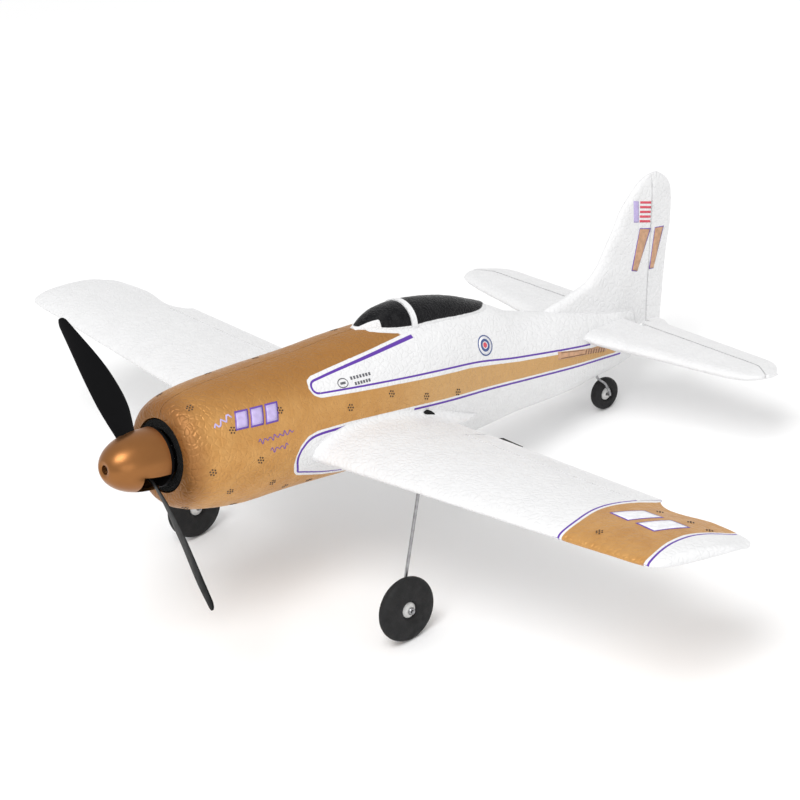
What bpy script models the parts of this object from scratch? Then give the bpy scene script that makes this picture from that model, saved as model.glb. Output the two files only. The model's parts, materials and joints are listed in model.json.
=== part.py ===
"""Radio-controlled foam warbird, a small electric tail-dragger, as an assembly of separate pieces.

Run with: blender --background --python part.py   (metres, +Z up)

Sizes are written in millimetres along the airframe's own datum: `s` runs aft from the spinner's tip
on the thrust line, `y` runs to the left wing and `z` runs up from the thrust line. One empty, the
airframe, carries every piece. It tips the datum nose-up by the ground angle and lifts it, so that all
three wheels stand on z = 0 with the model's box centred on the origin. Nose +X, left wing +Y.
"""

import math

import bmesh
import bpy
from mathutils import Vector

MM = 0.001
GAP = 0.3  # clearance between pieces that touch on the real model

# Overall sizes
HALF_SPAN = 192.4
PROP_RADIUS = 63.5
PROP_STATION = 14.4
BLADE_ANGLE = 43.0  # resting angle of the left blade below the horizontal, degrees

# Spinner and cowl
SPINNER_LENGTH = 22.0
SPINNER_RADIUS = 11.6
SPINNER_TIP_RADIUS = 3.3
SCREW_HOLE_RADIUS = 1.8
COWL_FRONT = 25.2
COWL_MOUTH_RADIUS = 14.2
COWL_FULL = 71.6
COWL_RADIUS = 25.5

# Fuselage
SKIN = 2.4
TAIL_END = 268.0
CAVITY_START = 29.0
CAVITY_END = 212.0
HATCH = (76.0, 126.0, 10.5)  # front station, rear station, half width

# Wing
WING_LE_ROOT = 74.6
WING_LE_SLOPE = 0.113
WING_TE = 146.0
AILERON_TE = 146.8
WING_Z_ROOT = -6.0
WING_DIHEDRAL = 0.0235  # rise per unit of span
WING_DROP = 0.9  # trailing edge below leading edge
SPAR_STATION = 104.0
SPAR_HEIGHT = -5.8
SPAR_RADIUS = 1.2
AILERON_HINGE = 134.5
AILERON_SPAN = (47.0, 139.7)
HINGE_DEPTH = 1.6

# Tail
TAIL_Z = 5.4
STAB_HALF_SPAN = 87.2
STAB_SHOULDER = 86.4
ELEVATOR_HINGE = 261.4
ELEVATOR_INNER = 8.6
JOINER_REACH = 14.6
RUDDER_HINGE = 275.0
FIN_TOP = 66.3
FIN_FOOT = 2.2

# Undercarriage
MAIN_AXLE = (90.5, 65.2, -56.6)
MAIN_RADIUS = 12.7
MAIN_WIDTH = 5.6
TAIL_AXLE = (254.4, 0.0, -25.0)
TAIL_RADIUS = 6.8
TAIL_WIDTH = 4.2
GEAR_WIRE = 0.65
TYRE_SEGMENTS = 28

# Surface throws, degrees
SURFACE_BEVEL = 28.0


# Radio gear and linkages
BOARD = (134.0, 176.0, 8.5, 8.5)  # front, rear, half width, height of its underside
AILERON_SERVO = (117.0, 6.0)  # station of its axle, length of its arm
LEVER_Y = 13.0  # sideways place of each torque rod's lever inside the fuselage
TORQUE_ARM = 6.0
PUSHROD_RADIUS = 0.45
ELEVATOR_ROD = [(168.0, 5.6, 15.7), (182.0, 5.6, 15.7), (202.0, -6.0, 0.0), (261.8, -9.9, -2.2)]
RUDDER_ROD = [(168.0, -5.6, 15.7), (182.0, -5.6, 15.7), (198.0, -8.0, 11.6), (274.7, -6.6, 13.0)]
TAIL_PIVOT = 249.6  # station of the tail wheel's steering pivot
HATCH_PIVOT = (101.0, 0.0, -24.0)


# ---------------------------------------------------------------- helpers


def clear_scene():
    for obj in list(bpy.data.objects):
        bpy.data.objects.remove(obj, do_unlink=True)


def place(s, y, z):
    """Datum millimetres to metres."""
    return Vector((-s, y, z)) * MM


def curve(table, x):
    """Smooth monotone curve through (x, value) pairs, flat beyond its ends."""
    if x <= table[0][0]:
        return table[0][1]
    if x >= table[-1][0]:
        return table[-1][1]
    slopes = [(b[1] - a[1]) / (b[0] - a[0]) for a, b in zip(table, table[1:])]
    for i, (a, b) in enumerate(zip(table, table[1:])):
        if x > b[0]:
            continue
        before = slopes[i - 1] if i else slopes[i]
        after = slopes[i + 1] if i + 1 < len(slopes) else slopes[i]
        m0 = 0.0 if before * slopes[i] <= 0 else (before + slopes[i]) / 2
        m1 = 0.0 if after * slopes[i] <= 0 else (after + slopes[i]) / 2
        width = b[0] - a[0]
        t = (x - a[0]) / width
        return (
            (2 * t**3 - 3 * t**2 + 1) * a[1]
            + (t**3 - 2 * t**2 + t) * width * m0
            + (3 * t**2 - 2 * t**3) * b[1]
            + (t**3 - t**2) * width * m1
        )
    return table[-1][1]


def material(name, colour, roughness=0.6, metallic=0.0):
    found = bpy.data.materials.get(name)
    if found:
        return found
    made = bpy.data.materials.new(name)
    made.use_nodes = True
    shader = made.node_tree.nodes["Principled BSDF"]
    shader.inputs["Base Color"].default_value = (*colour, 1.0)
    shader.inputs["Roughness"].default_value = roughness
    shader.inputs["Metallic"].default_value = metallic
    made.diffuse_color = (*colour, 1.0)
    return made


MATERIALS = {
    "gold_foam": ((0.55, 0.25, 0.07), 0.5, 0.2),
    "white_foam": ((0.82, 0.82, 0.81), 0.6, 0.0),
    "black_paint": ((0.015, 0.015, 0.016), 0.35, 0.0),
    "gold_plastic": ((0.62, 0.30, 0.10), 0.28, 0.4),
    "black_plastic": ((0.02, 0.02, 0.022), 0.4, 0.0),
    "grey_plastic": ((0.25, 0.26, 0.27), 0.5, 0.0),
    "white_plastic": ((0.80, 0.80, 0.78), 0.4, 0.0),
    "steel": ((0.60, 0.60, 0.62), 0.3, 1.0),
    "aluminium": ((0.75, 0.75, 0.77), 0.35, 1.0),
    "copper": ((0.65, 0.30, 0.15), 0.35, 1.0),
    "carbon": ((0.03, 0.03, 0.035), 0.35, 0.0),
    "tyre_rubber": ((0.02, 0.02, 0.02), 0.8, 0.0),
    "circuit_board": ((0.03, 0.18, 0.09), 0.5, 0.0),
    "battery_wrap": ((0.06, 0.08, 0.14), 0.35, 0.0),
}


def paint(name):
    return material(name, *MATERIALS[name])


def solid(name, verts, faces, finish, origin=(0.0, 0.0, 0.0)):
    """A closed mesh from datum millimetres, its origin at `origin`, faces turned outward."""
    anchor = place(*origin)
    mesh = bpy.data.meshes.new(name)
    mesh.from_pydata([place(*v) - anchor for v in verts], [], faces)
    shell = bmesh.new()
    shell.from_mesh(mesh)
    bmesh.ops.remove_doubles(shell, verts=shell.verts, dist=1e-7)
    bmesh.ops.recalc_face_normals(shell, faces=shell.faces)
    shell.to_mesh(mesh)
    shell.free()
    mesh.shade_smooth()
    mesh.set_sharp_from_angle(angle=math.radians(38))
    mesh.materials.append(paint(finish))
    obj = bpy.data.objects.new(name, mesh)
    bpy.context.collection.objects.link(obj)
    obj.parent = bpy.data.objects["airframe"]
    obj.location = anchor
    return obj


def loft(rings):
    """Vertices and faces of a closed body through rings with the same number of points."""
    count = len(rings[0])
    verts = [point for ring in rings for point in ring]
    faces = [tuple(range(count)), tuple((len(rings) - 1) * count + k for k in range(count))]
    for i in range(len(rings) - 1):
        for k in range(count):
            j = (k + 1) % count
            faces.append((i * count + k, i * count + j, (i + 1) * count + j, (i + 1) * count + k))
    return verts, faces


def turned(profile, centre, axis="s", segments=32, phase=0.0, closed=True):
    """Vertices and faces of a profile of (along, radius) pairs turned about the datum's s or y axis.

    A closed profile makes a ring or a tube. An open one starts and ends on the axis, with radius 0."""
    verts, faces, rows = [], [], []
    for along, radius in profile:
        count = 1 if radius == 0 else segments
        rows.append((len(verts), count))
        for k in range(count):
            a = phase + math.tau * k / segments
            u, v = radius * math.cos(a), radius * math.sin(a)
            offset = (along, u, v) if axis == "s" else (u, along, v)
            verts.append(tuple(c + o for c, o in zip(centre, offset)))
    last = len(rows) if closed else len(rows) - 1
    for i in range(last):
        (a, na), (b, nb) = rows[i], rows[(i + 1) % len(rows)]
        for k in range(segments):
            j = (k + 1) % segments
            if na == 1:
                faces.append((a, b + j, b + k))
            elif nb == 1:
                faces.append((a + k, a + j, b))
            else:
                faces.append((a + k, a + j, b + j, b + k))
    return verts, faces


def tube(inner, outer, start, end, centre=(0.0, 0.0, 0.0), axis="s", segments=24):
    profile = [(start, inner), (start, outer), (end, outer), (end, inner)]
    return turned(profile, centre, axis, segments)


def rod(radius, start, end, centre=(0.0, 0.0, 0.0), axis="s", segments=16, phase=0.07):
    profile = [(start, 0), (start, radius), (end, radius), (end, 0)]
    return turned(profile, centre, axis, segments, phase, closed=False)


def block(s, y, z):
    """Vertices and faces of a box given by three (low, high) pairs."""
    verts = [(a, b, c) for a in s for b in y for c in z]
    faces = [(0, 1, 3, 2), (4, 6, 7, 5), (0, 4, 5, 1), (2, 3, 7, 6), (0, 2, 6, 4), (1, 5, 7, 3)]
    return verts, faces


def prism(outline, low, high):
    """Vertices and faces of a plan outline of (s, y) pairs between two heights."""
    return loft([[(s, y, low) for s, y in outline], [(s, y, high) for s, y in outline]])


def wire(name, points, radius, finish, origin=(0.0, 0.0, 0.0), resolution=2):
    """A round wire bent through `points`, with flat ends."""
    anchor = place(*origin)
    data = bpy.data.curves.new(name, "CURVE")
    data.dimensions = "3D"
    data.bevel_depth = radius * MM
    data.bevel_resolution = resolution
    data.use_fill_caps = True
    spline = data.splines.new("POLY")
    spline.points.add(len(points) - 1)
    for target, point in zip(spline.points, points):
        target.co = (*(place(*point) - anchor), 1.0)
    data.materials.append(paint(finish))
    obj = bpy.data.objects.new(name, data)
    bpy.context.collection.objects.link(obj)
    obj.parent = bpy.data.objects["airframe"]
    obj.location = anchor
    return obj


def rounded(points, bend=2.0, steps=4):
    """A polyline with each inner corner replaced by an arc-like run of points."""
    out = [Vector(points[0])]
    for a, b, c in zip(points, points[1:], points[2:]):
        a, b, c = Vector(a), Vector(b), Vector(c)
        start = b + (a - b).normalized() * bend
        end = b + (c - b).normalized() * bend
        for k in range(steps + 1):
            t = k / steps
            out.append((1 - t) ** 2 * start + 2 * t * (1 - t) * b + t**2 * end)
    out.append(Vector(points[-1]))
    return [tuple(p) for p in out]


CUTTERS = {}


def cutter(name, shape):
    """A hidden tool body. Each one is made once and may cut several pieces."""
    if name not in CUTTERS:
        tool = solid("tool_" + name, *shape, "grey_plastic")
        tool.hide_render = True
        tool.display_type = "WIRE"
        CUTTERS[name] = tool
    return CUTTERS[name]


def combine(target, tool, operation="DIFFERENCE"):
    step = target.modifiers.new(tool.name, "BOOLEAN")
    step.operation = operation
    step.object = tool


# ---------------------------------------------------------------- fuselage form

COWL_SHAPE = (1.95, 3.4)  # superellipse powers along and across


def cowl_radius(s):
    """Radius of the nose: a superellipse from the mouth's edge to the full cowl."""
    if s >= COWL_FULL:
        return COWL_RADIUS
    cosine = (max(0.0, COWL_FULL - s) / (COWL_FULL - COWL_FRONT)) ** (COWL_SHAPE[0] / 2)
    sine = math.sqrt(max(0.0, 1 - min(1.0, cosine) ** 2))
    return COWL_MOUTH_RADIUS + (COWL_RADIUS - COWL_MOUTH_RADIUS) * sine ** (2 / COWL_SHAPE[1])


# How the section differs from the cowl's circle: (station, millimetres)
SPREAD = [(72, 0), (100, -0.5), (127, -1.9), (150, -4.3), (175, -8.5), (200, -11.5), (225, -14.3)]
SPREAD += [(243, -17.3), (258, -20.0), (268, -21.9)]
RISE = [(45, 0), (61, 0.4), (72, 1.1), (90, 2.4), (110, 4.7), (127, 5.8), (150, 6.8), (163, 6.2), (175, 4.5)]
RISE += [(183, 2.6), (187, 1.3), (191, -0.6), (196, -2.9), (202, -4.6), (210, -6.2), (218, -7.6)]
RISE += [(225, -8.6), (245, -12.6), (268, -15.4)]
SAG = [(55, 0), (72, 1.3), (108, 1.4), (140, 0.7), (165, 0.6), (181, 2.0), (199, 4.3), (223, 5.8)]
SAG += [(234, 6.9), (243, 8.6), (251, 9.8), (257, 10.8), (268, 13.5)]


def section(s):
    """Half width, height above and depth below the thrust line at station s."""
    r = cowl_radius(s)
    return r + curve(SPREAD, s), r + curve(RISE, s), r - curve(SAG, s)


def fuselage_ring(s, inset=0.0, half=None, arc=12):
    """One section's points. half is +1 or -1 for one side with a flat centre face, or None for both."""
    width, top, bottom = (value - inset for value in section(s))
    points = []
    for k in range(arc + 1):
        a = math.pi * k / arc
        height = top if k * 2 <= arc else bottom
        y = width * math.sin(a)
        if half:
            y = GAP / 2 + (width - GAP / 2) * math.sin(a)
        points.append((s, y * (half or 1), height * math.cos(a)))
    if half is None:
        points += [(s, -y, z) for s, y, z in reversed(points[1:-1])]
    return points


NOSE_STATIONS = [COWL_FRONT + d for d in (0.05, 0.4, 1.4, 3.5, 8.0, 16.0, 27.0)]
BODY_STATIONS = [62, 74, 100, 127, 139, 150, 161, 172, 181, 190, 199, 212, 225, 234, 243, 251, 259, TAIL_END]


def fuselage_body(half=None, inset=0.0):
    front = fuselage_ring(COWL_FRONT, 1.4 + inset, half)
    rings = [front] + [fuselage_ring(s, inset, half) for s in NOSE_STATIONS + BODY_STATIONS]
    return loft(rings)


def cavity_body():
    stations = [CAVITY_START, 34, 42, 54, 73, 100, 127, 139, 150, 161, 181, 199, CAVITY_END]
    return loft([fuselage_ring(s, SKIN) for s in stations])


def swollen_fuselage():
    return cutter("fuselage_clearance", fuselage_body(inset=-GAP))


# ---------------------------------------------------------------- flying surfaces


def foil_half_thickness(x):
    """NACA four-digit half thickness at chord fraction x, for a thickness of 1."""
    return 5 * (0.2969 * math.sqrt(x) - 0.126 * x - 0.3516 * x**2 + 0.2843 * x**3 - 0.1036 * x**4)


def plate_half_thickness(x):
    """Half thickness of a flat tail surface, for a thickness of 1: rounded nose, flat, tapered aft."""
    if x < 0.16:
        return 0.5 * math.sqrt(max(0.0, 1 - (1 - x / 0.16) ** 2))
    return 0.5 * min(1.0, 1 - 0.6 * (x - 0.55) / 0.45)


def foil_ring(nose, tail, thickness, camber=0.0, shape=foil_half_thickness, edge=0.7, points=9):
    """(along, height) pairs round a foil section, from the trailing edge over the top and back."""
    chord = tail - nose
    upper, lower = [], []
    for k in range(points):
        x = (1 - math.cos(math.pi * k / (points - 1))) / 2
        half = max(thickness * shape(x), edge / 2 * min(1.0, x * 12))
        mean = camber * thickness * 4 * x * (1 - x)
        if k:
            upper.append((nose + chord * x, mean + half))
            lower.append((nose + chord * x, mean - half))
    return upper[::-1] + [(nose, 0.0)] + lower


WING_NOSE = [(0, WING_LE_ROOT), (168, WING_LE_ROOT + 168 * WING_LE_SLOPE), (180, 95.1), (185.5, 97.4)]
WING_NOSE += [(188, 102), (190, 113), (HALF_SPAN, 128)]
WING_TAIL = [(0, WING_TE), (46.2, WING_TE), (46.6, AILERON_TE), (139.8, AILERON_TE), (141, 144.8)]
WING_TAIL += [(170, 144), (182, 142.8), (188, 141.3), (191, 139), (HALF_SPAN, 136)]
WING_THICKNESS = [(0, 11.0), (28, 10.2), (46, 8.2), (100, 6.8), (180, 5.2), (187, 4.4), (190.5, 3.0)]
WING_THICKNESS += [(HALF_SPAN, 1.2)]
WING_STATIONS = [8, 30, 46.2, 46.6, 75, 105, 139.8, 141, 165, 180, 185.5, 188, 190, 191.4, HALF_SPAN]


def wing_ring(y, side):
    base = WING_Z_ROOT + WING_DIHEDRAL * y
    nose, tail = curve(WING_NOSE, y), curve(WING_TAIL, y)
    ring = foil_ring(nose, tail, curve(WING_THICKNESS, y), camber=0.28)
    return [(s, side * y, base - WING_DROP * (s - nose) / (tail - nose) + z) for s, z in ring]


def wing_body(side):
    return loft([wing_ring(y, side) for y in WING_STATIONS])


def wing_top(y, s):
    """Height of the wing's upper surface."""
    nose, tail = curve(WING_NOSE, y), curve(WING_TAIL, y)
    x = (s - nose) / (tail - nose)
    thick = curve(WING_THICKNESS, y)
    rise = thick * foil_half_thickness(x) + 0.28 * thick * 4 * x * (1 - x)
    return WING_Z_ROOT + WING_DIHEDRAL * y - WING_DROP * x + rise


def hinge_height(y):
    """Height of the aileron hinge line, just under the wing's upper surface."""
    low, high = AILERON_SPAN
    ends = [wing_top(end, AILERON_HINGE) - HINGE_DEPTH for end in AILERON_SPAN]
    return ends[0] + (ends[1] - ends[0]) * (y - low) / (high - low)


def vee_fronted(front, ends, tail, over, under, depth=12.0):
    """A long body ending forward in a V: its edge runs through ends, each (y, z), at station front.
    The faces above and below the edge lean aft by the angles over and under."""
    rings = []
    for y, z in ends:
        high, low = (front + depth * math.tan(math.radians(lean)) for lean in (over, under))
        upper = [(front, y, z), (high, y, z + depth), (tail, y, z + depth)]
        rings.append(upper + [(tail, y, z - depth), (low, y, z - depth)])
    return loft(rings)


TAIL_NOSE = [(0, 228.5), (42, 238.6), (70, 244.2), (80, 247.5), (84, 250.5), (STAB_SHOULDER, 255)]
TAIL_NOSE += [(STAB_HALF_SPAN, 257)]
TAIL_TAIL = [(0, 274.7), (12, 274.7), (19, 271.6), (72, 271.6), (79, 270.3), (83.5, 267)]
TAIL_TAIL += [(STAB_SHOULDER, 263.5)]
TAIL_THICKNESS = [(0, 5.0), (60, 4.0), (82, 3.0), (85.5, 2.0), (STAB_HALF_SPAN, 1.4)]
SLOT = [(78.2, ELEVATOR_HINGE), (STAB_SHOULDER, ELEVATOR_HINGE - 4.4)]  # the elevator's edge turns forward


def tail_ring(y, front=None, rear=None, swell=0.0):
    """A section of the tailplane, whole or cut off square at `rear`, or cut to a V edge at `front`."""
    nose, tail, thick = curve(TAIL_NOSE, y) - swell, curve(TAIL_TAIL, y), curve(TAIL_THICKNESS, y)
    first, last = front or nose, rear or tail
    upper = []
    for k in range(6):
        x = (1 - math.cos(math.pi * k / 5)) / 2 if front is None else k / 5
        s = first + (last - first) * x
        half = thick * plate_half_thickness((s - nose) / (tail - nose)) + swell
        if front is not None and k == 0:
            half, s = 0.15, first
        elif front is None and k == 0:
            half = 0.1
        upper.append((s, half))
        if front is not None and k == 0:
            half = thick * plate_half_thickness((first - nose) / (tail - nose))
            upper.append((first + (half - 0.15) * math.tan(math.radians(SURFACE_BEVEL)), half))
    return [(s, TAIL_Z + half) for s, half in upper] + [(s, TAIL_Z - half) for s, half in reversed(upper)]


def stabiliser_body():
    rings = []
    right = [-STAB_SHOULDER, -83.6, -78.2, -70, -42, -15.7, -15.6]
    for y in right + [-y for y in reversed(right)]:
        rear = curve(SLOT, abs(y)) - (0.25 if abs(y) > 15.65 else 1.6)
        rings.append([(s, y, z) for s, z in tail_ring(abs(y), rear=rear)])
    return loft(rings)


def elevator_body(side):
    rings = []
    inner = ELEVATOR_INNER
    fronts = [(inner, 268.6), (inner + 1.0, 267.6), (inner + 3.5, 267.2), (inner + 3.6, ELEVATOR_HINGE + 0.2)]
    fronts += [(19, ELEVATOR_HINGE + 0.2), (72, ELEVATOR_HINGE + 0.2), (78.2, ELEVATOR_HINGE + 0.2)]
    fronts += [(83.6, curve(SLOT, 83.6) + 0.25), (STAB_SHOULDER, curve(SLOT, STAB_SHOULDER) + 0.35)]
    fronts += [(STAB_HALF_SPAN, curve(SLOT, STAB_SHOULDER) + 1.4)]
    for y, front in fronts:
        rings.append([(s, side * y, z) for s, z in tail_ring(y, front=front)])
    return loft(rings)


FIN_NOSE = [(FIN_FOOT, 214), (15, 215), (18.2, 219), (20.0, 225), (22.3, 232.3), (24.2, 238.4)]
FIN_NOSE += [(26.4, 242.2), (30.7, 246.5), (37.6, 250.6), (44.5, 254.7), (52.4, 258.8), (58.6, 264.1)]
FIN_NOSE += [(63.6, 269.6), (65.7, 274), (FIN_TOP, 277.5)]
FIN_TAIL = [(FIN_FOOT, 283.8), (31.2, 285.6), (46, 287.4), (55.9, 287.2), (60.9, 285.8), (64.3, 282.6)]
FIN_TAIL += [(FIN_TOP, 279)]
FIN_THICKNESS = [(FIN_FOOT, 5.6), (24, 4.8), (45, 4.2), (60, 3.4), (64.5, 2.2), (FIN_TOP, 1.0)]
FIN_STATIONS = [FIN_FOOT, 8, 13, 18.2, 20, 22.3, 24.2, 26.4, 30.7, 37.6, 44.5, 52.4, 58.6, 62.5, 64.8]
FIN_STATIONS += [FIN_TOP]


def fin_body():
    rings = []
    for z in FIN_STATIONS:
        nose, tail, depth = curve(FIN_NOSE, z), curve(FIN_TAIL, z), curve(FIN_THICKNESS, z)
        ring = foil_ring(nose, tail, depth, shape=plate_half_thickness)
        rings.append([(s, y, z) for s, y in ring])
    return loft(rings)


# ---------------------------------------------------------------- foam airframe


def make_fuselage():
    hatch_front, hatch_rear, hatch_half = HATCH
    opening = block((hatch_front, hatch_rear), (-hatch_half, hatch_half), (-30, -14))
    slot = tail_ring(0, rear=262.9, swell=GAP)
    tools = [
        cutter("mouth", rod(COWL_MOUTH_RADIUS, 15, CAVITY_START + 3, segments=32)),
        cutter("cavity", cavity_body()),
        cutter("hatch_opening", opening),
        cutter("tail_slot", loft([[(s, y, z) for s, z in slot] for y in (-20, 20)])),
        cutter("spar_hole", rod(SPAR_RADIUS + GAP, -40, 40, (SPAR_STATION, 0, SPAR_HEIGHT), axis="y")),
        cutter("linkage_slot", block((AILERON_HINGE - 3.2, AILERON_HINGE + 3.2), (-40, 40), (-7.6, -1.2))),
        cutter("elevator_rod_channel", channel(ELEVATOR_ROD[2], ELEVATOR_ROD[3], 200, 256, 1.3)),
        cutter("rudder_rod_channel", channel(RUDDER_ROD[2], RUDDER_ROD[3], 191, 250, 1.3)),
        cutter("tail_pivot_hole", upright(0.9, TAIL_PIVOT, 0, -30, -5.0)),
    ]
    for side, name in ((1, "fuselage_left"), (-1, "fuselage_right")):
        body = solid(name, *fuselage_body(half=side), "white_foam")
        for tool in tools:
            combine(body, tool)


def channel(start, end, front, rear, radius, segments=12):
    """A straight round passage on the line through two points, between two stations."""
    rings = []
    for s in (front, rear):
        t = (s - start[0]) / (end[0] - start[0])
        y, z = (start[i] + (end[i] - start[i]) * t for i in (1, 2))
        turns = [math.tau * k / segments for k in range(segments)]
        rings.append([(s, y + radius * math.cos(a), z + radius * math.sin(a)) for a in turns])
    return loft(rings)


def make_hatch():
    """The belly hatch: the part of the shell inside the hatch opening, with a finger lip at its front."""
    front, rear, half = HATCH
    hatch = solid("battery_hatch", *fuselage_body(), "white_foam", origin=HATCH_PIVOT)
    inside = block((front + GAP, rear - GAP), (-half + GAP, half - GAP), (-30, -15))
    combine(hatch, cutter("hatch_outline", inside), "INTERSECT")
    combine(hatch, cutter("cavity", None))


def make_wing(side, name):
    wing = solid("wing_" + name, *wing_body(side), "white_foam")
    low, high = AILERON_SPAN
    notch = block((AILERON_HINGE - 0.25, 160), ordered(side * (low - GAP), side * (high + GAP)), (-20, 15))
    sweep = block((AILERON_HINGE + 6.4, 160), ordered(side * (low - 2.0), side * low), (-20, 15))
    spar = rod(SPAR_RADIUS + GAP, -78, 78, (SPAR_STATION, 0, SPAR_HEIGHT), axis="y")
    groove_top = hinge_height(24) + 1.0
    groove_y = ordered(side * 10, side * (low + 1.8))
    groove = block((AILERON_HINGE - 1.2, AILERON_HINGE + 1.2), groove_y, (-20, groove_top))
    combine(wing, swollen_fuselage())
    combine(wing, cutter("aileron_notch_" + name, notch))
    combine(wing, cutter("horn_sweep_" + name, sweep))
    combine(wing, cutter("wing_spar_hole", spar))
    combine(wing, cutter("torque_rod_groove_" + name, groove))
    combine(wing, cutter("gear_pocket_" + name, gear_socket_shape(side, GAP)))


def make_aileron(side, name):
    low, high = AILERON_SPAN
    origin = (AILERON_HINGE, side * low, hinge_height(low))
    aileron = solid("aileron_" + name, *wing_body(side), "white_foam", origin=origin)
    ends = [(side * y, hinge_height(y)) for y in AILERON_SPAN]
    shape = vee_fronted(AILERON_HINGE + 0.2, ends, 160, 20.0, SURFACE_BEVEL)
    combine(aileron, cutter("aileron_outline_" + name, shape), "INTERSECT")
    slot_y = ordered(side * (low - 1), side * (low + 2.6))
    slot = block((AILERON_HINGE - 2, AILERON_HINGE + 7.2), slot_y, (-20, hinge_height(low) + 0.9))
    combine(aileron, cutter("rod_recess_" + name, slot))


def ordered(a, b):
    return (a, b) if a < b else (b, a)


def make_tail():
    hinge, reach, back = ELEVATOR_HINGE, JOINER_REACH, 269.6
    solid("stabiliser", *stabiliser_body(), "white_foam")
    for side, name in ((1, "left"), (-1, "right")):
        elevator = solid("elevator_" + name, *elevator_body(side), "white_foam", origin=(hinge, 0, TAIL_Z))
        wide = ordered(side * (reach - 2.6), side * (reach + 0.9))
        channel = block((hinge - 2, back + 0.6), wide, (TAIL_Z - 0.9, 9))
        combine(elevator, cutter("joiner_channel_" + name, channel))
    points = [(back, reach, TAIL_Z), (hinge, reach, TAIL_Z), (hinge, -reach, TAIL_Z), (back, -reach, TAIL_Z)]
    wire("elevator_joiner", rounded(points, 1.4), 0.55, "steel", origin=(hinge, 0, TAIL_Z))


def make_fin():
    fin = solid("fin", *fin_body(), "white_foam")
    combine(fin, cutter("fin_post", block((RUDDER_HINGE - 0.25, 300), (-10, 10), (0, 80))))
    combine(fin, swollen_fuselage())
    combine(fin, cutter("tail_slot", None))

    rudder = solid("rudder", *fin_body(), "white_foam", origin=(RUDDER_HINGE, 0, 30))
    lean = math.tan(math.radians(SURFACE_BEVEL + 2))
    front = RUDDER_HINGE + 0.2
    outline = [(front, 0.0), (front + 6 * lean, 6), (300, 6), (300, -6), (front + 6 * lean, -6)]
    combine(rudder, cutter("rudder_outline", prism(outline, 0, 80)), "INTERSECT")


# ---------------------------------------------------------------- canopy

CANOPY_WIDTH = [(117, 2.0), (122, 4.6), (128, 7.3), (134, 8.9), (141, 9.6), (153.5, 9.4), (164.5, 8.8)]
CANOPY_WIDTH += [(175.5, 7.1), (182, 5.4), (187, 3.4), (189.5, 2.2), (191, 1.2)]
CANOPY_TOP = [(117, 31.3), (119.5, 32.5), (122, 34.0), (125, 35.4), (129, 36.6), (133, 37.2), (138, 37.6)]
CANOPY_TOP += [(144, 37.6), (150, 37.2), (157, 36.3), (163, 35.2), (170, 33.4), (177, 31.1), (183, 28.9)]
CANOPY_TOP += [(187, 27.3), (189.5, 26.2), (191, 24.6)]
CANOPY_BASE = [(117, 29.6), (141, 28.4), (165, 27.6), (182, 25.6), (191, 23.0)]
BOW_STATIONS = (139.1, 141.6)


def canopy_ring(s, swell=0.0, arc=12):
    width = curve(CANOPY_WIDTH, s) + swell
    top = curve(CANOPY_TOP, s) + swell
    base = curve(CANOPY_BASE, s)
    points = []
    for k in range(arc + 1):
        a = math.pi * k / arc
        points.append((s, width * math.cos(a), base + (top - base) * math.sin(a) ** 0.9))
    return points + [(s, -width, 12.0), (s, width, 12.0)]


def make_canopy():
    front, rear = BOW_STATIONS
    runs = {
        "windscreen": ([117, 119.5, 122, 125.5, 130, 134.5, front - GAP], 0.0, "black_paint"),
        "canopy_bow": ([front, rear], 0.5, "white_foam"),
        "canopy": ([rear + GAP, 147, 154, 161, 168, 175, 181, 186, 189.2, 191], 0.0, "black_paint"),
    }
    for name, (stations, swell, finish) in runs.items():
        piece = solid(name, *loft([canopy_ring(s, swell) for s in stations]), finish)
        combine(piece, swollen_fuselage())


# ---------------------------------------------------------------- nose and motor


def spinner_radius(s):
    cosine = (max(0.0, SPINNER_LENGTH - s) / SPINNER_LENGTH) ** (2.7 / 2)
    sine = math.sqrt(max(0.0, 1 - cosine**2))
    return SPINNER_TIP_RADIUS + (SPINNER_RADIUS - SPINNER_TIP_RADIUS) * sine ** (2 / 1.48)


def make_spinner():
    stations = [0, 0.6, 2.0, 4.4, 8.0, 13.0, 18.0, SPINNER_LENGTH]
    outer = [(s, spinner_radius(s)) for s in stations]
    inner = [(s, max(spinner_radius(s) - 1.0, 2.6)) for s in stations if s > 4]
    profile = outer + inner[::-1] + [(4.2, 2.6), (4.2, SCREW_HOLE_RADIUS), (0, SCREW_HOLE_RADIUS)]
    spinner = solid("spinner", *turned(profile, (0, 0, 0), segments=28, phase=0.05), "gold_plastic")
    a = math.radians(-BLADE_ANGLE)
    reach = 20.0
    half = 5.2
    along, across = (math.cos(a), math.sin(a)), (-math.sin(a), math.cos(a))
    corners = [(-reach, -half), (reach, -half), (reach, half), (-reach, half)]
    rings = []
    for s in (PROP_STATION - 3.6, SPINNER_LENGTH + 2):
        rings.append([(s, along[0] * u + across[0] * v, along[1] * u + across[1] * v) for u, v in corners])
    combine(spinner, cutter("blade_slots", loft(rings)))

    plate = tube(3.2, SPINNER_RADIUS - 0.2, SPINNER_LENGTH + GAP, SPINNER_LENGTH + 1.6, segments=28)
    solid("spinner_backplate", *plate, "black_plastic")
    screw = [(2.2, 0), (2.2, 1.5), (3.9, 1.5), (3.9, 0.9), (9.5, 0.9), (9.5, 0)]
    head = solid("spinner_screw", *turned(screw, (0, 0, 0), segments=16, closed=False), "steel")
    slot = block((1.5, 3.0), (-1.1, 1.1), (-0.25, 0.25))
    combine(head, cutter("screw_slot", slot))


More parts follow.
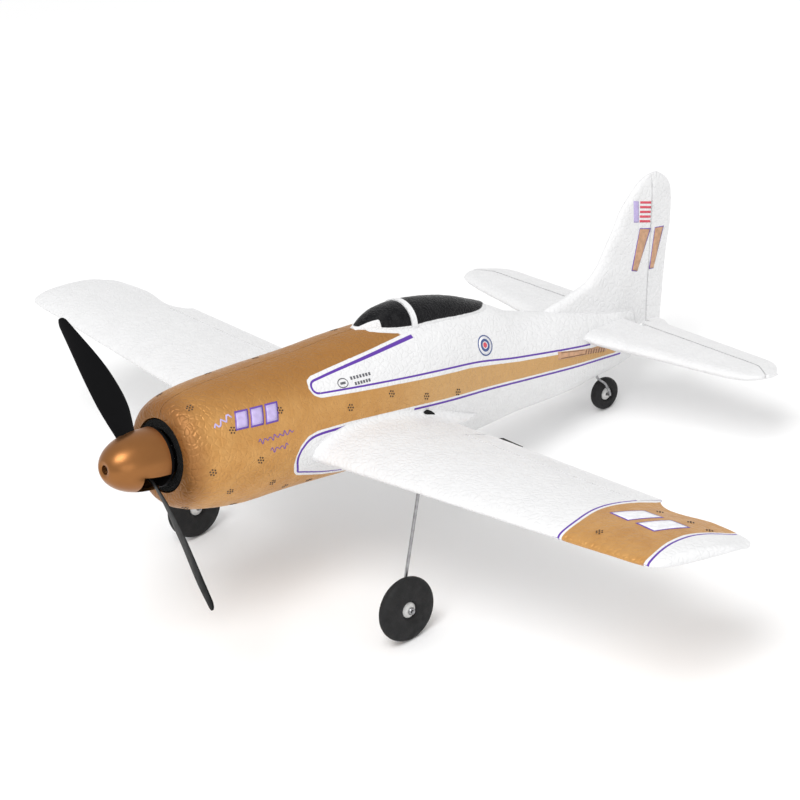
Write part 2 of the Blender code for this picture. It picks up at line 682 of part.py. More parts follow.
# Blade tables by radius: where the leading edge lies, across and along, then chord, twist and thickness
BLADE_EDGE = [(3, -2.4), (9, -4.0), (16, -5.2), (20, -5.8), (28, -6.4), (36, -6.1)]
BLADE_EDGE += [(44, -5.35), (52, -4.35), (60, -3.4), (62, -3.05), (PROP_RADIUS, -1.8)]
BLADE_EDGE_STATION = [(3, -0.1), (16, -0.15), (28, -0.3), (PROP_RADIUS, -0.6)]
BLADE_CHORD = [(3, 5.5), (9, 7.5), (16, 10.5), (20, 12.1), (28, 13.4), (36, 12.8)]
BLADE_CHORD += [(44, 11.1), (52, 8.65), (60, 6.0), (62, 5.2), (PROP_RADIUS, 3.2)]
BLADE_TWIST = [(3, 32), (16, 29), (20, 27.8), (28, 24.4), (36, 22.5), (44, 19.3), (52, 15), (60, 10.3)]
BLADE_TWIST += [(PROP_RADIUS, 7)]
BLADE_THICK = [(3, 3.2), (9, 2.4), (22, 1.5), (45, 1.1), (PROP_RADIUS, 0.8)]
BLADE_STATIONS = [3, 9, 16, 22, 29, 37, 45, 53, 60, 62.3, PROP_RADIUS]
BLADE_SECTION = [(0, 0), (0.18, 0.42), (0.55, 0.55), (0.86, 0.32), (1, 0), (0.86, -0.2), (0.55, -0.4)]
BLADE_SECTION += [(0.18, -0.36)]


def blade(direction):
    """One blade: thin twisted sections out along the resting blade line, direction +1 or -1."""
    a = math.radians(-BLADE_ANGLE)
    out = (math.cos(a) * direction, math.sin(a) * direction)
    side = (out[1], -out[0])
    rings = []
    for r in BLADE_STATIONS:
        chord, thick = curve(BLADE_CHORD, r), curve(BLADE_THICK, r)
        twist = math.radians(curve(BLADE_TWIST, r))
        front = PROP_STATION + curve(BLADE_EDGE_STATION, r)
        ring = []
        for u, v in BLADE_SECTION:
            x = curve(BLADE_EDGE, r) + u * chord * math.cos(twist) - v * thick * math.sin(twist)
            s = front + u * chord * math.sin(twist) - v * thick * math.cos(twist)
            ring.append((s, out[0] * r + side[0] * x, out[1] * r + side[1] * x))
        rings.append(ring)
    return loft(rings)


def make_propeller():
    hub = tube(1.15, 4.4, PROP_STATION - 3.6, PROP_STATION + 3.6, segments=24)
    prop = solid("propeller", *hub, "black_plastic")
    for direction, name in ((1, "left"), (-1, "right")):
        combine(prop, cutter("blade_" + name, blade(direction)), "UNION")


MOTOR_BELL = (33.0, 47.0)
MOTOR_RADIUS = 7.8


def make_motor():
    front, rear = MOTOR_BELL
    adapter = [(18.3, 1.1), (18.3, 4.4), (20.0, 4.4), (20.0, 2.7), (front - GAP, 2.7), (front - GAP, 1.1)]
    solid("prop_adapter", *turned(adapter, (0, 0, 0), segments=20), "aluminium")
    shaft = rod(0.8, 10.2, rear + 2.6, segments=12)
    solid("motor_shaft", *shaft, "steel")
    r = MOTOR_RADIUS
    bell = [(front, 1.1), (front, r), (rear, r), (rear, r - 0.8), (front + 1.4, r - 0.8), (front + 1.4, 1.1)]
    solid("motor_bell", *turned(bell, (0, 0, 0), segments=24), "black_paint")
    stator_outline, slots = [], 6
    for k in range(slots):
        for offset, radius in ((-0.5, 4.0), (-0.3, 4.0), (-0.42, 6.2), (0.42, 6.2), (0.3, 4.0)):
            a = math.tau * (k + offset) / slots
            stator_outline.append((radius * math.cos(a), radius * math.sin(a)))
    stator = loft([[(s, y, z) for y, z in stator_outline] for s in (front + 3.2, rear - 1.6)])
    core = solid("motor_stator", *stator, "copper")
    combine(core, cutter("stator_bore", rod(3.1, front, rear + 3, segments=18)))
    base = [(front + 2.6, 1.95), (front + 2.6, 2.8), (rear + 0.8, 2.8), (rear + 0.8, 7.2)]
    base += [(rear + 2.4, 7.2), (rear + 2.4, 1.95)]
    solid("motor_base", *turned(base, (0, 0, 0), segments=20), "aluminium")
    plate = tube(3.0, 21.2, rear + 2.7, rear + 5.2, segments=32)
    mount = solid("motor_mount", *plate, "black_plastic")
    for k in range(4):
        a = math.tau * (k + 0.5) / 4
        window = rod(4.2, rear, rear + 8, (0, 13.6 * math.cos(a), 13.6 * math.sin(a)), segments=14)
        combine(mount, cutter(f"mount_window_{k + 1}", window))
    ring = [(25.1, 10.0), (25.1, 13.85), (28.6, 13.85), (28.6, 10.0)]
    solid("nose_ring", *turned(ring, (0, 0, 0), segments=32, phase=0.07), "black_plastic")


# ---------------------------------------------------------------- radio gear, battery and linkages


def make_radio():
    front, rear, half, low = BOARD
    board = solid("flight_board", *block((front, rear), (-half, half), (low, low + 1.0)), "circuit_board")
    chips = [((front + 3, front + 11), (-4, 4), 1.8), ((front + 13, front + 17), (-7, -3), 2.2)]
    for k, (s, y, height) in enumerate(chips):
        combine(board, cutter(f"chip_{k + 1}", block(s, y, (low + 0.5, low + 1 + height))), "UNION")
    for name, y in (("elevator", ELEVATOR_ROD[0][1]), ("rudder", RUDDER_ROD[0][1])):
        case = block((rear - 22, rear - 2), (y - 2.6, y + 2.6), (low + 1.3, low + 8.0))
        servo = solid(name + "_servo", *case, "black_plastic")
        track = block((rear - 12.5, rear - 1), (y - 1.4, y + 1.4), (low + 5.6, low + 9))
        combine(servo, cutter(name + "_servo_track", track))
    solid("radio_tray", *block((58, rear + 3), (-12.5, 12.5), (low - 1.8, low - GAP)), "black_plastic")
    solid("speed_controller", *block((62, 82), (-7.5, 7.5), (low, low + 2.6)), "circuit_board")


def make_battery():
    pack = solid("battery", *block((80, 122), (-8.4, 8.4), (-20.1, -9.4)), "battery_wrap", origin=HATCH_PIVOT)
    bevel = pack.modifiers.new("rounded edges", "BEVEL")
    bevel.width = 1.2 * MM
    bevel.segments = 2


def make_aileron_drive():
    centre, arm = AILERON_SERVO
    solid("aileron_servo", *block((centre - 9.5, centre + 3.6), (-4.2, 4.2), (-8.6, 3.0)), "black_plastic")
    outline = [(centre - 1.2, arm + 1.2), (centre + 1.2, arm + 1.2), (centre + 2.2, 0)]
    outline += [(centre + 1.2, -arm - 1.2), (centre - 1.2, -arm - 1.2), (centre - 2.2, 0)]
    solid("aileron_servo_arm", *prism(outline, 3.3, 4.6), "white_plastic", origin=(centre, 0, 3.3))
    low, hinge = AILERON_SPAN[0], AILERON_HINGE
    for side, name in ((1, "left"), (-1, "right")):
        origin = (hinge, side * low, hinge_height(low))
        lever, outer = side * LEVER_Y, side * (low + 1.0)
        top = hinge_height(LEVER_Y) + TORQUE_ARM
        points = [
            (hinge, lever, top + 1.2),
            (hinge, lever, hinge_height(LEVER_Y)),
            (hinge, outer, hinge_height(low + 1)),
            (hinge + 6.4, outer, hinge_height(low) - 2.4),
        ]
        wire("torque_rod_" + name, rounded(points, 1.2), 0.5, "steel", origin=origin)
        link = [(centre + 1.8, side * arm, 4.0), (hinge - 1.0, lever, top)]
        wire("aileron_link_" + name, link, 0.4, "steel", origin=link[0])
        plate = [(hinge + 7.0, side * (low - 1.6)), (hinge + 7.2, side * (low + 16.8))]
        plate += [(149.9, side * (low + 15.6)), (150.3, side * (low + 4.0))]
        height = hinge_height(low) - 2.1
        solid("aileron_horn_" + name, *prism(plate, height - 0.9, height), "black_plastic", origin=origin)


def make_pushrods_and_horns():
    wire("elevator_pushrod", rounded(ELEVATOR_ROD, 4), PUSHROD_RADIUS, "steel", origin=ELEVATOR_ROD[0])
    wire("rudder_pushrod", rounded(RUDDER_ROD, 4), PUSHROD_RADIUS, "steel", origin=RUDDER_ROD[0])
    s, y, z = ELEVATOR_ROD[-1]
    front = s + PUSHROD_RADIUS
    plate = [(269.2, 3.6), (273.2, 3.6), (front + 1.6, z - 1.2), (front, z - 1.2), (front, z + 1.2)]
    rings = [[(a, y + offset, b) for a, b in plate] for offset in (-0.5, 0.5)]
    solid("elevator_horn", *loft(rings), "black_plastic", origin=(ELEVATOR_HINGE, 0, TAIL_Z))
    s, y, z = RUDDER_ROD[-1]
    front = s + PUSHROD_RADIUS
    plate = [(front + 1.2, -2.0), (front + 5.4, -1.7), (front + 2.0, y - 0.6), (front, y - 0.6)]
    solid("rudder_horn", *prism(plate, z - 0.5, z + 0.5), "black_plastic", origin=(RUDDER_HINGE, 0, 30))


# ---------------------------------------------------------------- undercarriage

GEAR_TOP = 99.5  # station where each wire enters the wing
GEAR_Y = 61.2


def gear_socket_shape(side, swell=0.0):
    y = side * GEAR_Y
    z = (-7.6 - swell * 6, -2.4 + swell)
    return block((GEAR_TOP - 4.5 - swell, GEAR_TOP + 2.6 + swell), (y - 3.2 - swell, y + 3.2 + swell), z)


def tyre_profile(radius, width, bore):
    """Full round tread on a flat-sided bore. The tread's facets lie at `radius`."""
    crown = radius / math.cos(math.pi / TYRE_SEGMENTS)
    half, depth = width / 2, crown - bore
    side = [(0.6, 0.0), (1.0, 0.28), (0.94, 0.66), (0.62, 0.92), (0.2, 1.0)]
    right = [(along * half, bore + reach * depth) for along, reach in side]
    return [(-along, reach) for along, reach in right] + right[::-1]


def make_wheel(name, axle, radius, width, bore, level, hub_reach):
    """A tyre on its hub. `level` turns the tread so that one facet lies flat on the ground."""
    phase = -math.pi / 2 + math.pi / TYRE_SEGMENTS + level
    profile = tyre_profile(radius, width, bore)
    solid(name + "_tyre", *turned(profile, axle, "y", TYRE_SEGMENTS, phase), "tyre_rubber", origin=axle)
    half = width * 0.27 * hub_reach
    inner = bore - 0.25
    pin = GEAR_WIRE + 0.15
    hub = [(-half, pin), (-half, inner * 0.5), (-half * 0.7, inner)]
    hub += [(-along, reach) for along, reach in reversed(hub)]
    solid(name + "_hub", *turned(hub, axle, "y", 20), "white_plastic", origin=axle)


def make_main_gear(side, name, level):
    s, y, z = MAIN_AXLE
    axle = (s, side * y, z)
    make_wheel("main_wheel_" + name, axle, MAIN_RADIUS, MAIN_WIDTH, 3.3, level, 1.7)
    inner, outer, top = side * GEAR_Y, side * (y + 4.2), -3.2
    points = [(GEAR_TOP, inner, top), (GEAR_TOP, inner, -8.2), (s + 2.6, inner, z + 9.0)]
    points += [(s, inner, z), (s, outer, z)]
    wire("gear_wire_" + name, rounded(points, 1.6), GEAR_WIRE, "steel")
    socket = solid("gear_socket_" + name, *gear_socket_shape(side), "black_plastic")
    combine(socket, cutter("gear_hole_" + name, upright(GEAR_WIRE + 0.2, GEAR_TOP, inner, -30, top + 0.4)))
    bore = GEAR_WIRE + 0.15
    cap = [(0, bore), (0, 1.5), (0.9 * side, 1.2), (0.9 * side, bore)]
    cap_place = (s, side * (y + 2.85), z)
    solid("wheel_keeper_" + name, *turned(cap, cap_place, "y", 16), "steel")


def upright(radius, s, y, low, high, segments=12):
    """Vertices and faces of a round bar standing along the datum's z."""
    turns = [math.tau * k / segments for k in range(segments)]
    return prism([(s + radius * math.cos(a), y + radius * math.sin(a)) for a in turns], low, high)


def make_tail_gear(level):
    s, y, z = TAIL_AXLE
    make_wheel("tail_wheel", TAIL_AXLE, TAIL_RADIUS, TAIL_WIDTH, 2.9, level, 1.5)
    pivot = TAIL_PIVOT
    side = TAIL_WIDTH / 2 + 1.3
    points = [(pivot, 0, -6.0), (pivot, 0, -17.4), (pivot + 1.8, side, -19.4)]
    points += [(s, side, z + 0.8), (s, side, z), (s, -1.8, z)]
    wire("tail_wire", rounded(points, 1.0), 0.5, "steel", origin=(pivot, 0, -12))


# ---------------------------------------------------------------- stance


def ground_angle():
    """Nose-up angle at which the main and tail wheels stand on one plane."""
    (s0, _, z0), (s1, _, z1) = MAIN_AXLE, TAIL_AXLE
    reach = math.hypot(s1 - s0, z1 - z0)
    return math.atan2(z1 - z0, s1 - s0) + math.asin((MAIN_RADIUS - TAIL_RADIUS) / reach)


def stand_on_ground(airframe, angle):
    """Tips the airframe nose-up, stands it on z = 0 and centres its box on the origin."""
    airframe.rotation_euler = (0, -angle, 0)
    bpy.context.view_layer.update()
    graph = bpy.context.evaluated_depsgraph_get()
    points = []
    for obj in bpy.data.objects:
        if obj.type in ("MESH", "CURVE") and not obj.hide_render:
            shown = obj.evaluated_get(graph)
            mesh = shown.to_mesh()
            points += [shown.matrix_world @ v.co for v in mesh.vertices]
            shown.to_mesh_clear()
    low = [min(p[i] for p in points) for i in range(3)]
    high = [max(p[i] for p in points) for i in range(3)]
    airframe.location = (-(low[0] + high[0]) / 2, 0.0, -low[2])
    bpy.context.view_layer.update()


def main():
    clear_scene()
    airframe = bpy.data.objects.new("airframe", None)
    bpy.context.collection.objects.link(airframe)
    angle = ground_angle()

    make_fuselage()
    make_hatch()
    for side, name in ((1, "left"), (-1, "right")):
        make_wing(side, name)
        make_aileron(side, name)
        make_main_gear(side, name, angle)
    solid("wing_spar", *rod(SPAR_RADIUS, -76, 76, (SPAR_STATION, 0, SPAR_HEIGHT), axis="y"), "carbon")
    make_tail()
    make_fin()
    make_canopy()
    make_spinner()
    make_propeller()
    make_motor()
    make_radio()
    make_battery()
    make_aileron_drive()
    make_pushrods_and_horns()
    make_tail_gear(angle)
    stand_on_ground(airframe, angle)


main()
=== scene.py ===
"""Looks of a radio-controlled foam warbird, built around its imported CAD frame.

Sizes are millimetres along the airframe's own datum: s aft from the spinner's tip, y to the left
wing, z up from the thrust line. to_frame() carries them into the frame's metres."""

import json
import math

import bmesh
import bpy
import numpy as np
from mathutils import Matrix, Vector
from mathutils.kdtree import KDTree


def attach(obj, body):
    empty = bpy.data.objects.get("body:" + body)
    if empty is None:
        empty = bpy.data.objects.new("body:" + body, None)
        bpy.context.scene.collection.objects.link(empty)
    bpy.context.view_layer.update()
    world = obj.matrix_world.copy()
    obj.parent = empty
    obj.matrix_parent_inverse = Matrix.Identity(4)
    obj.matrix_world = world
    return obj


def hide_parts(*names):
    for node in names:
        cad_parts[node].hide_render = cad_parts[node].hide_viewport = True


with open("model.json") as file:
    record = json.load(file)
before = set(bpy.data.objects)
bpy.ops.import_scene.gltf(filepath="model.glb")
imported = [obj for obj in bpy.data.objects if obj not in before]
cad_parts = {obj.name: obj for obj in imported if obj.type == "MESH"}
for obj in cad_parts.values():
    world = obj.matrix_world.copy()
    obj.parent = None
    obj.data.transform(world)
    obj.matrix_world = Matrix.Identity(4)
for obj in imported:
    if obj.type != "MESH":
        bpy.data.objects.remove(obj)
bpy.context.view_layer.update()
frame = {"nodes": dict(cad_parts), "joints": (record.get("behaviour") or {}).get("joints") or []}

MM = 0.001

# Overall sizes
HALF_SPAN = 192.4
PROP_RADIUS = 63.5
PROP_STATION = 14.4
BLADE_ANGLE = 43.0  # resting angle of the left blade below the horizontal, degrees

# Spinner and cowl
SPINNER_LENGTH = 22.0
SPINNER_RADIUS = 11.6
SPINNER_TIP_RADIUS = 3.3
SCREW_HOLE_RADIUS = 1.8
HUB_HALF = 3.6  # half the propeller hub's length
SHAFT_RADIUS = 1.15
COWL_FRONT = 25.2
COWL_MOUTH_RADIUS = 14.2
COWL_FULL = 71.6
COWL_RADIUS = 25.5

# Fuselage
SKIN = 2.4
TAIL_END = 268.0
HATCH = (76.0, 126.0, 10.5)  # front station, rear station, half width
SEAM_GAP = 0.05  # from the centre plane to each half

# Wing
WING_LE_ROOT = 74.6
WING_LE_SLOPE = 0.113
WING_TE = 146.0
AILERON_TE = 146.8
WING_Z_ROOT = -6.0
WING_DIHEDRAL = 0.0235  # rise per unit of span
WING_DROP = 0.9  # trailing edge below leading edge
AILERON_HINGE = 134.5
AILERON_SPAN = (47.0, 139.7)
HINGE_DEPTH = 1.6

# Tail
TAIL_Z = 5.4
STAB_HALF_SPAN = 87.2
STAB_SHOULDER = 86.4
ELEVATOR_HINGE = 261.4
ELEVATOR_INNER = 8.6
RUDDER_HINGE = 275.0
FIN_TOP = 66.3
FIN_FOOT = 2.2

# Undercarriage
MAIN_AXLE = (90.5, 65.2, -56.6)
MAIN_RADIUS = 12.7
MAIN_WIDTH = 5.6
TAIL_AXLE = (254.4, 0.0, -25.0)
TAIL_RADIUS = 6.8
TAIL_WIDTH = 4.2
GEAR_WIRE = 0.65
AXLE_BORE = GEAR_WIRE + 0.15
TAIL_PIVOT = 249.6
SURFACE_BEVEL = 28.0
BOW_STATIONS = (139.1, 141.6)

SPIN = next(j for j in frame["joints"] if j["name"] == "prop_spin")
FORWARD = Vector(SPIN["axis"]).normalized()
LEFT = Vector((0, 1, 0))
UP = FORWARD.cross(LEFT)
ORIGIN = Vector(SPIN["pos_m"]) + FORWARD * PROP_STATION * MM
AXES = np.array([-FORWARD, LEFT, UP])
SIDES = ((1, "left"), (-1, "right"))


# ---------------------------------------------------------------- forms, as in the CAD


def curve(table, x):
    """Smooth monotone curve through (x, value) pairs, flat beyond its ends."""
    if x <= table[0][0]:
        return table[0][1]
    if x >= table[-1][0]:
        return table[-1][1]
    slopes = [(b[1] - a[1]) / (b[0] - a[0]) for a, b in zip(table, table[1:])]
    for i, (a, b) in enumerate(zip(table, table[1:])):
        if x > b[0]:
            continue
        before = slopes[i - 1] if i else slopes[i]
        after = slopes[i + 1] if i + 1 < len(slopes) else slopes[i]
        m0 = 0.0 if before * slopes[i] <= 0 else (before + slopes[i]) / 2
        m1 = 0.0 if after * slopes[i] <= 0 else (after + slopes[i]) / 2
        width = b[0] - a[0]
        t = (x - a[0]) / width
        return (
            (2 * t**3 - 3 * t**2 + 1) * a[1]
            + (t**3 - 2 * t**2 + t) * width * m0
            + (3 * t**2 - 2 * t**3) * b[1]
            + (t**3 - t**2) * width * m1
        )
    return table[-1][1]


COWL_SHAPE = (1.95, 3.4)  # superellipse powers along and across


def cowl_radius(s):
    """Radius of the nose: a superellipse from the mouth's edge to the full cowl."""
    if s >= COWL_FULL:
        return COWL_RADIUS
    cosine = (max(0.0, COWL_FULL - s) / (COWL_FULL - COWL_FRONT)) ** (COWL_SHAPE[0] / 2)
    sine = math.sqrt(max(0.0, 1 - min(1.0, cosine) ** 2))
    return COWL_MOUTH_RADIUS + (COWL_RADIUS - COWL_MOUTH_RADIUS) * sine ** (2 / COWL_SHAPE[1])


# How the section differs from the cowl's circle: (station, millimetres)
SPREAD = [(72, 0), (100, -0.5), (127, -1.9), (150, -4.3), (175, -8.5), (200, -11.5), (225, -14.3)]
SPREAD += [(243, -17.3), (258, -20.0), (268, -21.9)]
RISE = [(45, 0), (61, 0.4), (72, 1.1), (90, 2.4), (110, 4.7), (127, 5.8), (150, 6.8), (163, 6.2)]
RISE += [(175, 4.5), (183, 2.6), (187, 1.3), (191, -0.6), (196, -2.9), (202, -4.6), (210, -6.2)]
RISE += [(218, -7.6), (225, -8.6), (245, -12.6), (268, -15.4)]
SAG = [(55, 0), (72, 1.3), (108, 1.4), (140, 0.7), (165, 0.6), (181, 2.0), (199, 4.3), (223, 5.8)]
SAG += [(234, 6.9), (243, 8.6), (251, 9.8), (257, 10.8), (268, 13.5)]


def section(s):
    """Half width, height above and depth below the thrust line at station s."""
    r = cowl_radius(s)
    return r + curve(SPREAD, s), r + curve(RISE, s), r - curve(SAG, s)


def foil_half_thickness(x):
    """NACA four-digit half thickness at chord fraction x, for a thickness of 1."""
    return 5 * (0.2969 * math.sqrt(x) - 0.126 * x - 0.3516 * x**2 + 0.2843 * x**3 - 0.1036 * x**4)


def plate_half_thickness(x):
    """Half thickness of a flat tail surface, for a thickness of 1: rounded nose, flat, tapered aft."""
    if x < 0.16:
        return 0.5 * math.sqrt(max(0.0, 1 - (1 - x / 0.16) ** 2))
    return 0.5 * min(1.0, 1 - 0.6 * (x - 0.55) / 0.45)


WING_NOSE = [(0, WING_LE_ROOT), (168, WING_LE_ROOT + 168 * WING_LE_SLOPE), (180, 95.1), (185.5, 97.4)]
WING_NOSE += [(188, 102), (190, 113), (HALF_SPAN, 128)]
WING_TAIL = [(0, WING_TE), (46.2, WING_TE), (46.6, AILERON_TE), (139.8, AILERON_TE), (141, 144.8)]
WING_TAIL += [(170, 144), (182, 142.8), (188, 141.3), (191, 139), (HALF_SPAN, 136)]
WING_THICKNESS = [(0, 11.0), (28, 10.2), (46, 8.2), (100, 6.8), (180, 5.2), (187, 4.4), (190.5, 3.0)]
WING_THICKNESS += [(HALF_SPAN, 1.2)]


def wing_top(y, s):
    """Height of the wing's upper surface."""
    nose, tail = curve(WING_NOSE, y), curve(WING_TAIL, y)
    x = (s - nose) / (tail - nose)
    thick = curve(WING_THICKNESS, y)
    rise = thick * foil_half_thickness(x) + 0.28 * thick * 4 * x * (1 - x)
    return WING_Z_ROOT + WING_DIHEDRAL * y - WING_DROP * x + rise


def hinge_height(y):
    """Height of the aileron hinge line, just under the wing's upper surface."""
    low, high = AILERON_SPAN
    ends = [wing_top(end, AILERON_HINGE) - HINGE_DEPTH for end in AILERON_SPAN]
    return ends[0] + (ends[1] - ends[0]) * (y - low) / (high - low)


def vee_fronted(front, ends, tail, over, under, depth=12.0):
    """A long body ending forward in a V: its edge runs through ends, each (y, z), at station front.
    The faces above and below the edge lean aft by the angles over and under."""
    rings = []
    for y, z in ends:
        high, low = (front + depth * math.tan(math.radians(lean)) for lean in (over, under))
        upper = [(front, y, z), (high, y, z + depth), (tail, y, z + depth)]
        rings.append(upper + [(tail, y, z - depth), (low, y, z - depth)])
    return loft(rings)


TAIL_NOSE = [(0, 228.5), (42, 238.6), (70, 244.2), (80, 247.5), (84, 250.5), (STAB_SHOULDER, 255)]
TAIL_NOSE += [(STAB_HALF_SPAN, 257)]
TAIL_TAIL = [(0, 274.7), (12, 274.7), (19, 271.6), (72, 271.6), (79, 270.3), (83.5, 267)]
TAIL_TAIL += [(STAB_SHOULDER, 263.5)]
TAIL_THICKNESS = [(0, 5.0), (60, 4.0), (82, 3.0), (85.5, 2.0), (STAB_HALF_SPAN, 1.4)]
SLOT = [(78.2, ELEVATOR_HINGE), (STAB_SHOULDER, ELEVATOR_HINGE - 4.4)]  # the elevator's edge turns forward

FIN_NOSE = [(FIN_FOOT, 214), (15, 215), (18.2, 219), (20.0, 225), (22.3, 232.3), (24.2, 238.4)]
FIN_NOSE += [(26.4, 242.2), (30.7, 246.5), (37.6, 250.6), (44.5, 254.7), (52.4, 258.8), (58.6, 264.1)]
FIN_NOSE += [(63.6, 269.6), (65.7, 274), (FIN_TOP, 277.5)]
FIN_TAIL = [(FIN_FOOT, 283.8), (31.2, 285.6), (46, 287.4), (55.9, 287.2), (60.9, 285.8), (64.3, 282.6)]
FIN_TAIL += [(FIN_TOP, 279)]
FIN_THICKNESS = [(FIN_FOOT, 5.6), (24, 4.8), (45, 4.2), (60, 3.4), (64.5, 2.2), (FIN_TOP, 1.0)]

CANOPY_WIDTH = [(117, 2.0), (122, 4.6), (128, 7.3), (134, 8.9), (141, 9.6), (153.5, 9.4), (164.5, 8.8)]
CANOPY_WIDTH += [(175.5, 7.1), (179.5, 6.0), (182, 4.9), (184, 3.4), (186.5, 1.2)]
CANOPY_TOP = [(117, 31.3), (119.5, 32.5), (122, 34.0), (125, 35.4), (129, 36.6), (133, 37.2), (138, 37.6)]
CANOPY_TOP += [(144, 37.6), (150, 37.2), (157, 36.3), (163, 35.2), (170, 33.4), (177, 31.1), (181, 29.8)]
CANOPY_TOP += [(183.6, 28.7), (186.5, 25.6)]
CANOPY_BASE = [(117, 29.6), (141, 28.4), (165, 27.6), (182, 25.6), (186.5, 23.0)]


def spinner_radius(s):
    cosine = (max(0.0, SPINNER_LENGTH - s) / SPINNER_LENGTH) ** (2.7 / 2)
    sine = math.sqrt(max(0.0, 1 - cosine**2))
    return SPINNER_TIP_RADIUS + (SPINNER_RADIUS - SPINNER_TIP_RADIUS) * sine ** (2 / 1.48)


# Blade tables by radius: where the leading edge lies, across and along, then chord, twist and thickness
BLADE_EDGE = [(3, -2.4), (9, -4.0), (16, -5.2), (20, -5.8), (28, -6.4), (36, -6.1)]
BLADE_EDGE += [(44, -5.35), (52, -4.35), (60, -3.4), (62, -3.05), (PROP_RADIUS, -1.8)]
BLADE_EDGE_STATION = [(3, -0.1), (16, -0.15), (28, -0.3), (PROP_RADIUS, -0.6)]
BLADE_CHORD = [(3, 5.5), (9, 7.5), (16, 10.5), (20, 12.1), (28, 13.4), (36, 12.8)]
BLADE_CHORD += [(44, 11.1), (52, 8.65), (60, 6.0), (62, 5.2), (PROP_RADIUS, 3.2)]
BLADE_TWIST = [(3, 32), (16, 29), (20, 27.8), (28, 24.4), (36, 22.5), (44, 19.3), (52, 15), (60, 10.3)]
BLADE_TWIST += [(PROP_RADIUS, 7)]
BLADE_THICK = [(3, 3.2), (9, 2.4), (22, 1.5), (45, 1.1), (PROP_RADIUS, 0.8)]
BLADE_SECTION = [(0, 0), (0.18, 0.42), (0.55, 0.55), (0.86, 0.32), (1, 0), (0.86, -0.2), (0.55, -0.4)]
BLADE_SECTION += [(0.18, -0.36)]


def block(s, y, z):
    """Vertices and faces of a box given by three (low, high) pairs."""
    verts = [(a, b, c) for a in s for b in y for c in z]
    faces = [(0, 1, 3, 2), (4, 6, 7, 5), (0, 4, 5, 1), (2, 3, 7, 6), (0, 2, 6, 4), (1, 5, 7, 3)]
    return verts, faces


def prism(outline, low, high):
    """Vertices and faces of a plan outline of (s, y) pairs between two heights."""
    return loft([[(s, y, low) for s, y in outline], [(s, y, high) for s, y in outline]])


# ---------------------------------------------------------------- mesh helpers


def to_frame(points):
    """Datum millimetres to the frame's metres."""
    return np.asarray(points, float) @ AXES * MM + np.array(ORIGIN)


def to_datum(points):
    """The frame's metres to datum millimetres."""
    return (np.asarray(points, float) - np.array(ORIGIN)) @ AXES.T / MM


def dense(stations, step):
    """The stations with more between them, no further apart than step."""
    out = [stations[0]]
    for a, b in zip(stations, stations[1:]):
        count = max(1, math.ceil(abs(b - a) / step - 1e-6))
        out += [a + (b - a) * k / count for k in range(1, count + 1)]
    return out


def along(table, x):
    """Straight-line reading of a table of (x, value) pairs."""
    for a, b in zip(table, table[1:]):
        if a[0] <= x <= b[0]:
            return a[1] + (b[1] - a[1]) * (x - a[0]) / (b[0] - a[0] or 1)
    return table[-1][1]


def loft(rings):
    count = len(rings[0])
    verts = [point for ring in rings for point in ring]
    faces = [tuple(range(count)), tuple((len(rings) - 1) * count + k for k in range(count))]
    for i in range(len(rings) - 1):
        for k in range(count):
            j = (k + 1) % count
            faces.append((i * count + k, i * count + j, (i + 1) * count + j, (i + 1) * count + k))
    return verts, faces


def turned(profile, centre=(0, 0, 0), axis="s", segments=96, closed=True):
    """A profile of (along, radius) pairs turned about the datum's s or y axis."""
    verts, faces, rows = [], [], []
    for reach, radius in profile:
        count = 1 if radius == 0 else segments
        rows.append((len(verts), count))
        for k in range(count):
            a = math.tau * k / segments
            u, v = radius * math.cos(a), radius * math.sin(a)
            offset = (reach, u, v) if axis == "s" else (u, reach, v)
            verts.append(tuple(c + o for c, o in zip(centre, offset)))
    last = len(rows) if closed else len(rows) - 1
    for i in range(last):
        (a, na), (b, nb) = rows[i], rows[(i + 1) % len(rows)]
        for k in range(segments):
            j = (k + 1) % segments
            if na == 1:
                faces.append((a, b + j, b + k))
            elif nb == 1:
                faces.append((a + k, a + j, b))
            else:
                faces.append((a + k, a + j, b + j, b + k))
    return verts, faces


def smooth_path(points, step=0.6):
    """A Catmull-Rom run through the points, sampled about every step."""
    pts = [np.array(p, float) for p in points]
    pts = [2 * pts[0] - pts[1]] + pts + [2 * pts[-1] - pts[-2]]
    out = []
    for a, b, c, d in zip(pts, pts[1:], pts[2:], pts[3:]):
        count = max(2, math.ceil(np.linalg.norm(c - b) / step))
        for k in range(count):
            t = k / count
            out.append(0.5 * (2 * b + (c - a) * t + (2 * a - 5 * b + 4 * c - d) * t * t
                              + (3 * b - a - 3 * c + d) * t**3))
    return out + [pts[-2]]


def bent(points, bend=2.0, steps=8):
    """A polyline with each inner corner rounded."""
    out = [np.array(points[0], float)]
    for a, b, c in zip(points, points[1:], points[2:]):
        a, b, c = (np.array(p, float) for p in (a, b, c))
        start = b + (a - b) / np.linalg.norm(a - b) * bend
        end = b + (c - b) / np.linalg.norm(c - b) * bend
        for k in range(steps + 1):
            t = k / steps
            out.append((1 - t) ** 2 * start + 2 * t * (1 - t) * b + t**2 * end)
    return out + [np.array(points[-1], float)]


